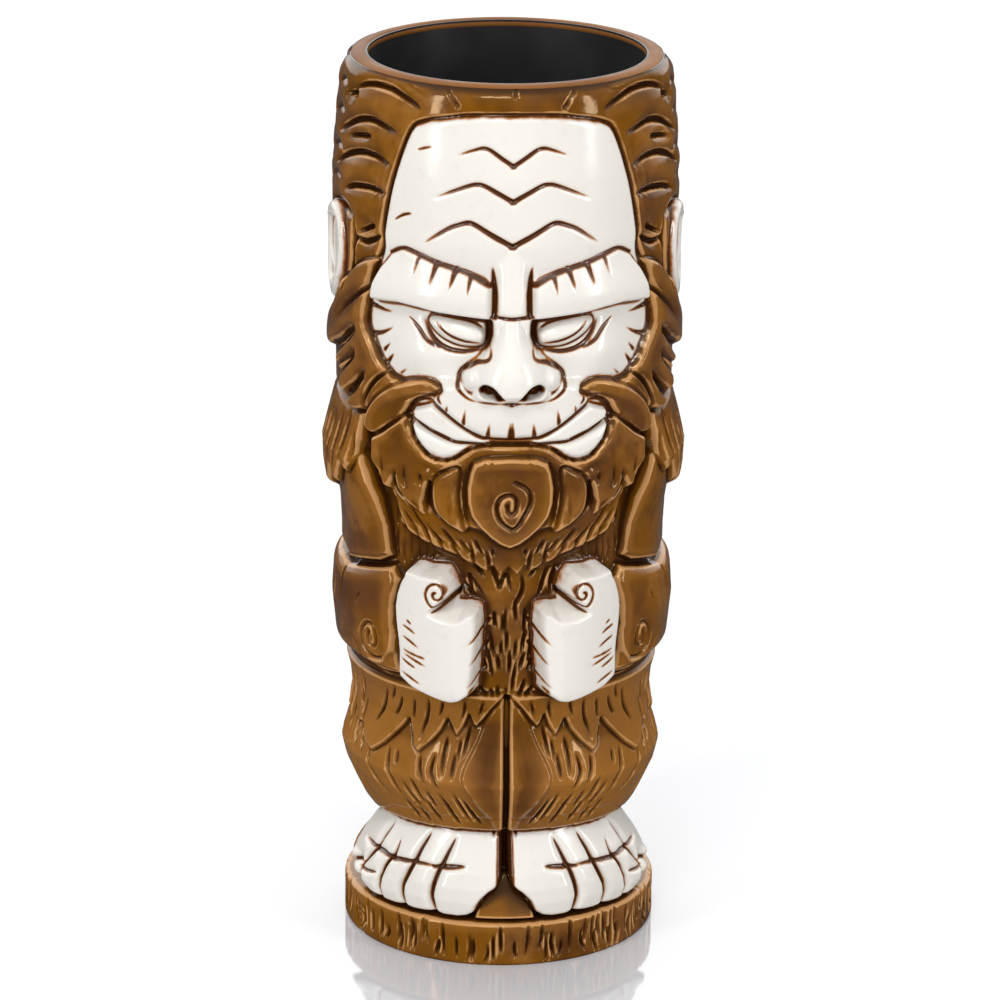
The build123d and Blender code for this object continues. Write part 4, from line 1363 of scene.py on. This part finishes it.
class Nodes:
    """Small helpers over a material's node tree."""

    def __init__(self, name):
        self.material = bpy.data.materials.new(name)
        self.material.use_nodes = True
        self.tree = self.material.node_tree
        self.shader = self.tree.nodes["Principled BSDF"]

    def node(self, kind, **inputs):
        made = self.tree.nodes.new(kind)
        for key, value in inputs.items():
            self.feed(made.inputs[key.replace("_", " ")], value)
        return made

    def feed(self, socket, value):
        if isinstance(value, bpy.types.NodeSocket):
            self.tree.links.new(value, socket)
        else:
            socket.default_value = value

    def attribute(self, name):
        made = self.tree.nodes.new("ShaderNodeAttribute")
        made.attribute_name = name
        return made.outputs["Fac"]

    def noise(self, scale, detail=3.0, roughness=0.55):
        made = self.node("ShaderNodeTexNoise", Scale=scale, Detail=detail, Roughness=roughness)
        self.feed(made.inputs["Vector"], self.tree.nodes.new("ShaderNodeTexCoord").outputs["Object"])
        return made.outputs["Fac"]

    def place(self, axis):
        split = self.node("ShaderNodeSeparateXYZ")
        self.feed(split.inputs[0], self.tree.nodes.new("ShaderNodeTexCoord").outputs["Object"])
        return split.outputs[axis]

    def math(self, operation, a, b=0.0):
        made = self.tree.nodes.new("ShaderNodeMath")
        made.operation = operation
        self.feed(made.inputs[0], a)
        self.feed(made.inputs[1], b)
        return made.outputs[0]

    def span(self, value, low, high, to_low=0.0, to_high=1.0):
        made = self.tree.nodes.new("ShaderNodeMapRange")
        made.interpolation_type = "SMOOTHSTEP"
        inputs = {"Value": value, "From Min": low, "From Max": high, "To Min": to_low, "To Max": to_high}
        for key, given in inputs.items():
            self.feed(made.inputs[key], given)
        return made.outputs[0]

    def mix(self, factor, a, b):
        made = self.tree.nodes.new("ShaderNodeMix")
        made.data_type = "RGBA"
        self.feed(made.inputs["Factor"], factor)
        self.feed(made.inputs["A"], a)
        self.feed(made.inputs["B"], b)
        return made.outputs["Result"]


BROWN = rgb(108, 66, 8)
BROWN_THICK = rgb(86, 52, 26)
# lighter, thinner glaze; also used for painted light on swells and a painted highlight on the legs
BROWN_THIN_AND_LIT = rgb(150, 100, 44)
# dark glaze; also used for painted shade in hollows and grooves
BROWN_DARK_AND_SHADE = rgb(42, 18, 2)
# tan of thin glaze over crests, also used as a painted highlight along them
BROWN_THIN_EDGE_AND_HIGHLIGHT = rgb(178, 132, 84)
WHITE_GLAZE = rgb(209, 205, 197)
WHITE_STAIN = rgb(150, 92, 38)
LINE_STAIN = rgb(66, 32, 8)


def thin_and_highlit_legs(n):
    """Where the coat is thinner and a highlight is painted lighter: over the legs, but for the diamonds
    between the knees.
    """
    height = n.place("Z")
    legs = n.math("MULTIPLY", n.span(height, 0.012, 0.026), n.span(height, 0.054, 0.060, 0.55, 0.0))
    return n.math("MULTIPLY", legs, n.span(n.math("ABSOLUTE", n.place("X")), 0.004, 0.010, 0.1, 1.0))


def brown_colour(n):
    """Brown glaze: dark where it pools in grooves and hollows, with painted shade there too; golden on
    slopes; lighter on broad swells and on the legs, partly thinner glaze and partly painted highlight; tan
    where it breaks over an edge, with a painted highlight along it.
    """
    hollow_shading, groove = n.attribute("hollow_shading"), n.attribute("groove")
    base = n.mix(n.span(n.noise(48.0, 3.0), 0.40, 0.62), BROWN, BROWN_THICK)
    base = n.mix(n.span(n.noise(85.0, 2.0), 0.48, 0.70, 0.0, 0.42), base, BROWN_DARK_AND_SHADE)
    base = n.mix(n.span(n.noise(60.0, 4.0, 0.7), 0.50, 0.68, 0.0, 0.38), base, BROWN_THIN_AND_LIT)
    # thinner glaze on the legs, with a painted highlight
    base = n.mix(thin_and_highlit_legs(n), base, BROWN_THIN_AND_LIT)
    # thinner glaze, and painted light, on broad swells
    base = n.mix(n.span(hollow_shading, -0.6, -0.12, 0.35, 0.0), base, BROWN_THIN_AND_LIT)
    # pooled glaze, and painted shade, in broad hollows
    base = n.mix(n.span(hollow_shading, 0.0, 0.6, 0.0, 0.8), base, BROWN_DARK_AND_SHADE)
    # glaze pooled in the grooves, with painted shade in them as well
    base = n.mix(n.span(groove, 0.05, 0.34, 0.0, 0.95), base, BROWN_DARK_AND_SHADE)
    speck = n.math("MULTIPLY", n.noise(420.0, 2.0), 0.02)
    worn = n.math("ADD", speck, n.span(n.noise(190.0, 2.0), 0.42, 0.62, 0.0, 0.022))
    # thin glaze breaking over crests, and a painted highlight along them
    crest_thin_and_lit = n.math("SUBTRACT", n.attribute("crest"), worn)
    return n.mix(n.span(crest_thin_and_lit, 0.024, 0.075, 0.0, 0.9), base, BROWN_THIN_EDGE_AND_HIGHLIGHT)


def finish_glaze(n, colour, roughness, waves):
    """Joins a colour to the shader, with a roughness that drifts and a slightly wavy surface."""
    drift = n.span(n.noise(120.0, 1.0), 0.3, 0.7, roughness * 0.88, roughness * 1.15)
    bump = n.node("ShaderNodeBump", Strength=waves, Distance=0.0004, Height=n.noise(230.0, 2.0))
    n.feed(n.shader.inputs["Base Color"], colour)
    n.feed(n.shader.inputs["Roughness"], drift)
    n.feed(n.shader.inputs["Normal"], bump.outputs["Normal"])
    n.shader.inputs["IOR"].default_value = 1.52
    return n.material


def warm_gloss(n, level):
    """Reflections that take on the brown of the glaze."""
    n.shader.inputs["Specular Tint"].default_value = (1.0, 0.72, 0.44, 1.0)
    n.shader.inputs["Specular IOR Level"].default_value = level


def brown_glaze():
    n = Nodes("brown_glaze")
    warm_gloss(n, 0.36)
    return finish_glaze(n, brown_colour(n), 0.13, 0.32)


def white_glaze():
    """White glaze wiped over brown, which stays in the carved lines and along the borders."""
    n = Nodes("white_glaze")
    wobble = n.math("MULTIPLY", n.math("SUBTRACT", n.noise(420.0), 0.5), 0.3)
    border = n.span(n.math("ADD", n.attribute("white"), wobble), 0.60, 1.02, 1.0, 0.0)
    line = n.span(n.math("ADD", n.attribute("ink"), n.math("MULTIPLY", wobble, 0.8)), 0.03, 0.62)
    pooled = n.span(n.attribute("groove"), 0.03, 0.30, 0.0, 0.9)
    stain = n.math("MAXIMUM", n.math("MAXIMUM", border, line), pooled)
    tint = n.mix(n.span(stain, 0.0, 0.62), WHITE_GLAZE, WHITE_STAIN)
    return finish_glaze(n, n.mix(n.span(stain, 0.5, 1.0), tint, LINE_STAIN), 0.15, 0.12)


def plain_glaze(name, colour, second, roughness):
    """A glaze that drifts between two colours."""
    n = Nodes(name)
    return n, finish_glaze(n, n.mix(n.span(n.noise(40.0, 1.0), 0.3, 0.7), colour, second), roughness, 0.02)


def rim_glaze():
    n, material = plain_glaze("rim_glaze", rgb(128, 84, 44), rgb(112, 70, 34), 0.3)
    warm_gloss(n, 0.03)
    return material


GLAZES = {
    "brown_glaze": brown_glaze(),
    "white_glaze": white_glaze(),
    "black_glaze": plain_glaze("black_glaze", rgb(38, 38, 39), rgb(33, 33, 34), 0.36)[1],
    "rim_glaze": rim_glaze(),
}
SLOTS = {part["node"]: part["material_slot"] for part in frame["record"]["subparts"]}

for node in NODES:
    if node not in ("cup_wall", "inner_glaze", "rim_lip"):
        finish_piece(node, SLOTS[node])

RIM_INSIDE = [
    (0.6, 177.6), (0.3, 178.4), (-0.12, 178.8), (-0.12, 179.3), (0.05, 179.75), (0.4, 180.05), (1.0, 180.2),
]
RIM_OUTSIDE = [(29.2, 180.15), (29.9, 179.98), (30.35, 179.78), (30.5, TOP), (30.2, TOP), (30.2, 177.6)]
rim = lathe("rim_cast", [(MOUTH_RADIUS + past, z) for past, z in RIM_INSIDE] + RIM_OUTSIDE)
rim.data.materials.append(GLAZES["rim_glaze"])
stand_for(rim, "rim_lip", "rim_glaze")

for node in ("cup_wall", "inner_glaze"):
    obj = frame["nodes"][node]
    obj.data.materials.clear()
    obj.data.materials.append(GLAZES[SLOTS[node]])

# ---- studio -------------------------------------------------------------------------------------
YAW = np.radians(-2.5)
ROLL = np.radians(0.6)
CAMERA_DISTANCE = 970.2
AIM = Vector((0, 0, 87.8)) * MM
ROOM = 0.1  # how bright the world is near the floor, overhead and behind the mug
CEILING = 1.05
BACKDROP = 1.6
FLOOR_REACH = 6000 * MM


def place_camera():
    data = bpy.data.cameras.new("camera")
    data.sensor_width = 36.0
    data.lens = 183.2
    data.shift_x = -0.0025
    camera = bpy.data.objects.new("camera", data)
    bpy.context.scene.collection.objects.link(camera)
    bpy.context.scene.camera = camera
    east, north = CAMERA_DISTANCE * np.sin(YAW), -CAMERA_DISTANCE * np.cos(YAW)
    camera.location = Vector((east, north, EYE_HEIGHT)) * MM
    turn = (AIM - camera.location).to_track_quat("-Z", "Y").to_matrix().to_4x4()
    camera.matrix_world = Matrix.Translation(camera.location) @ turn @ Matrix.Rotation(ROLL, 4, "Z")


def area_light(name, place_mm, aim_mm, size, power, seen_in_glaze=True):
    data = bpy.data.lights.new(name, "AREA")
    data.shape = "RECTANGLE"
    data.size, data.size_y = size[0] * MM, size[1] * MM
    data.energy = power
    light = bpy.data.objects.new(name, data)
    light.location = Vector(place_mm) * MM
    light.rotation_euler = (Vector(aim_mm) - Vector(place_mm)).to_track_quat("-Z", "Y").to_euler()
    light.visible_glossy = seen_in_glaze
    bpy.context.scene.collection.objects.link(light)


def studio_world():
    """Light from a white ceiling and a white backdrop, over a dark room."""
    world = bpy.data.worlds.new("studio")
    world.use_nodes = True
    tree = world.node_tree
    coordinates = tree.nodes.new("ShaderNodeTexCoord")
    split = tree.nodes.new("ShaderNodeSeparateXYZ")
    tree.links.new(coordinates.outputs["Generated"], split.inputs[0])

    def ramp(axis, low, high, start, end):
        made = tree.nodes.new("ShaderNodeMapRange")
        made.interpolation_type = "SMOOTHSTEP"
        for key, value in (("From Min", low), ("From Max", high), ("To Min", start), ("To Max", end)):
            made.inputs[key].default_value = value
        tree.links.new(split.outputs[axis], made.inputs["Value"])
        return made.outputs[0]

    backdrop = tree.nodes.new("ShaderNodeMath")
    backdrop.operation = "MULTIPLY_ADD"
    tree.links.new(ramp("Y", 0.25, 0.8, 0.0, BACKDROP), backdrop.inputs[0])
    tree.links.new(ramp("Z", 0.0, 0.12, 0.0, 1.0), backdrop.inputs[1])
    tree.links.new(ramp("Z", 0.0, 0.9, ROOM, CEILING), backdrop.inputs[2])
    tree.links.new(backdrop.outputs[0], tree.nodes["Background"].inputs["Strength"])
    tree.nodes["Background"].inputs["Color"].default_value = (1, 1, 1, 1)
    return world


def lay_floor():
    corners = [(x * FLOOR_REACH, y * FLOOR_REACH, 0) for x, y in ((-1, -1), (1, -1), (1, 1), (-1, 1))]
    mesh = bpy.data.meshes.new("floor")
    mesh.from_pydata(corners, [], [(0, 1, 2, 3)])
    floor = bpy.data.objects.new("floor", mesh)
    bpy.context.scene.collection.objects.link(floor)
    n = Nodes("floor")
    n.shader.inputs["Base Color"].default_value = (0.51, 0.515, 0.535, 1)
    n.shader.inputs["Roughness"].default_value = 0.06
    n.shader.inputs["IOR"].default_value = 2.2
    mesh.materials.append(n.material)
    floor.visible_glossy = False  # the glaze would otherwise mirror it


place_camera()
area_light("softbox_left", (-640, -540, 330), (0, 0, 100), (110, 560), 3.2)
area_light("softbox_right", (700, -500, 330), (0, 0, 90), (110, 560), 2.9)
area_light("softbox_top", (-120, -560, 820), (0, 0, 80), (260, 160), 2.35)
area_light("fill_low", (0, -620, 130), (0, 0, 35), (420, 120), 0.75, seen_in_glaze=False)
bpy.context.scene.world = studio_world()
lay_floor()
bpy.context.scene.view_settings.view_transform = "Standard"
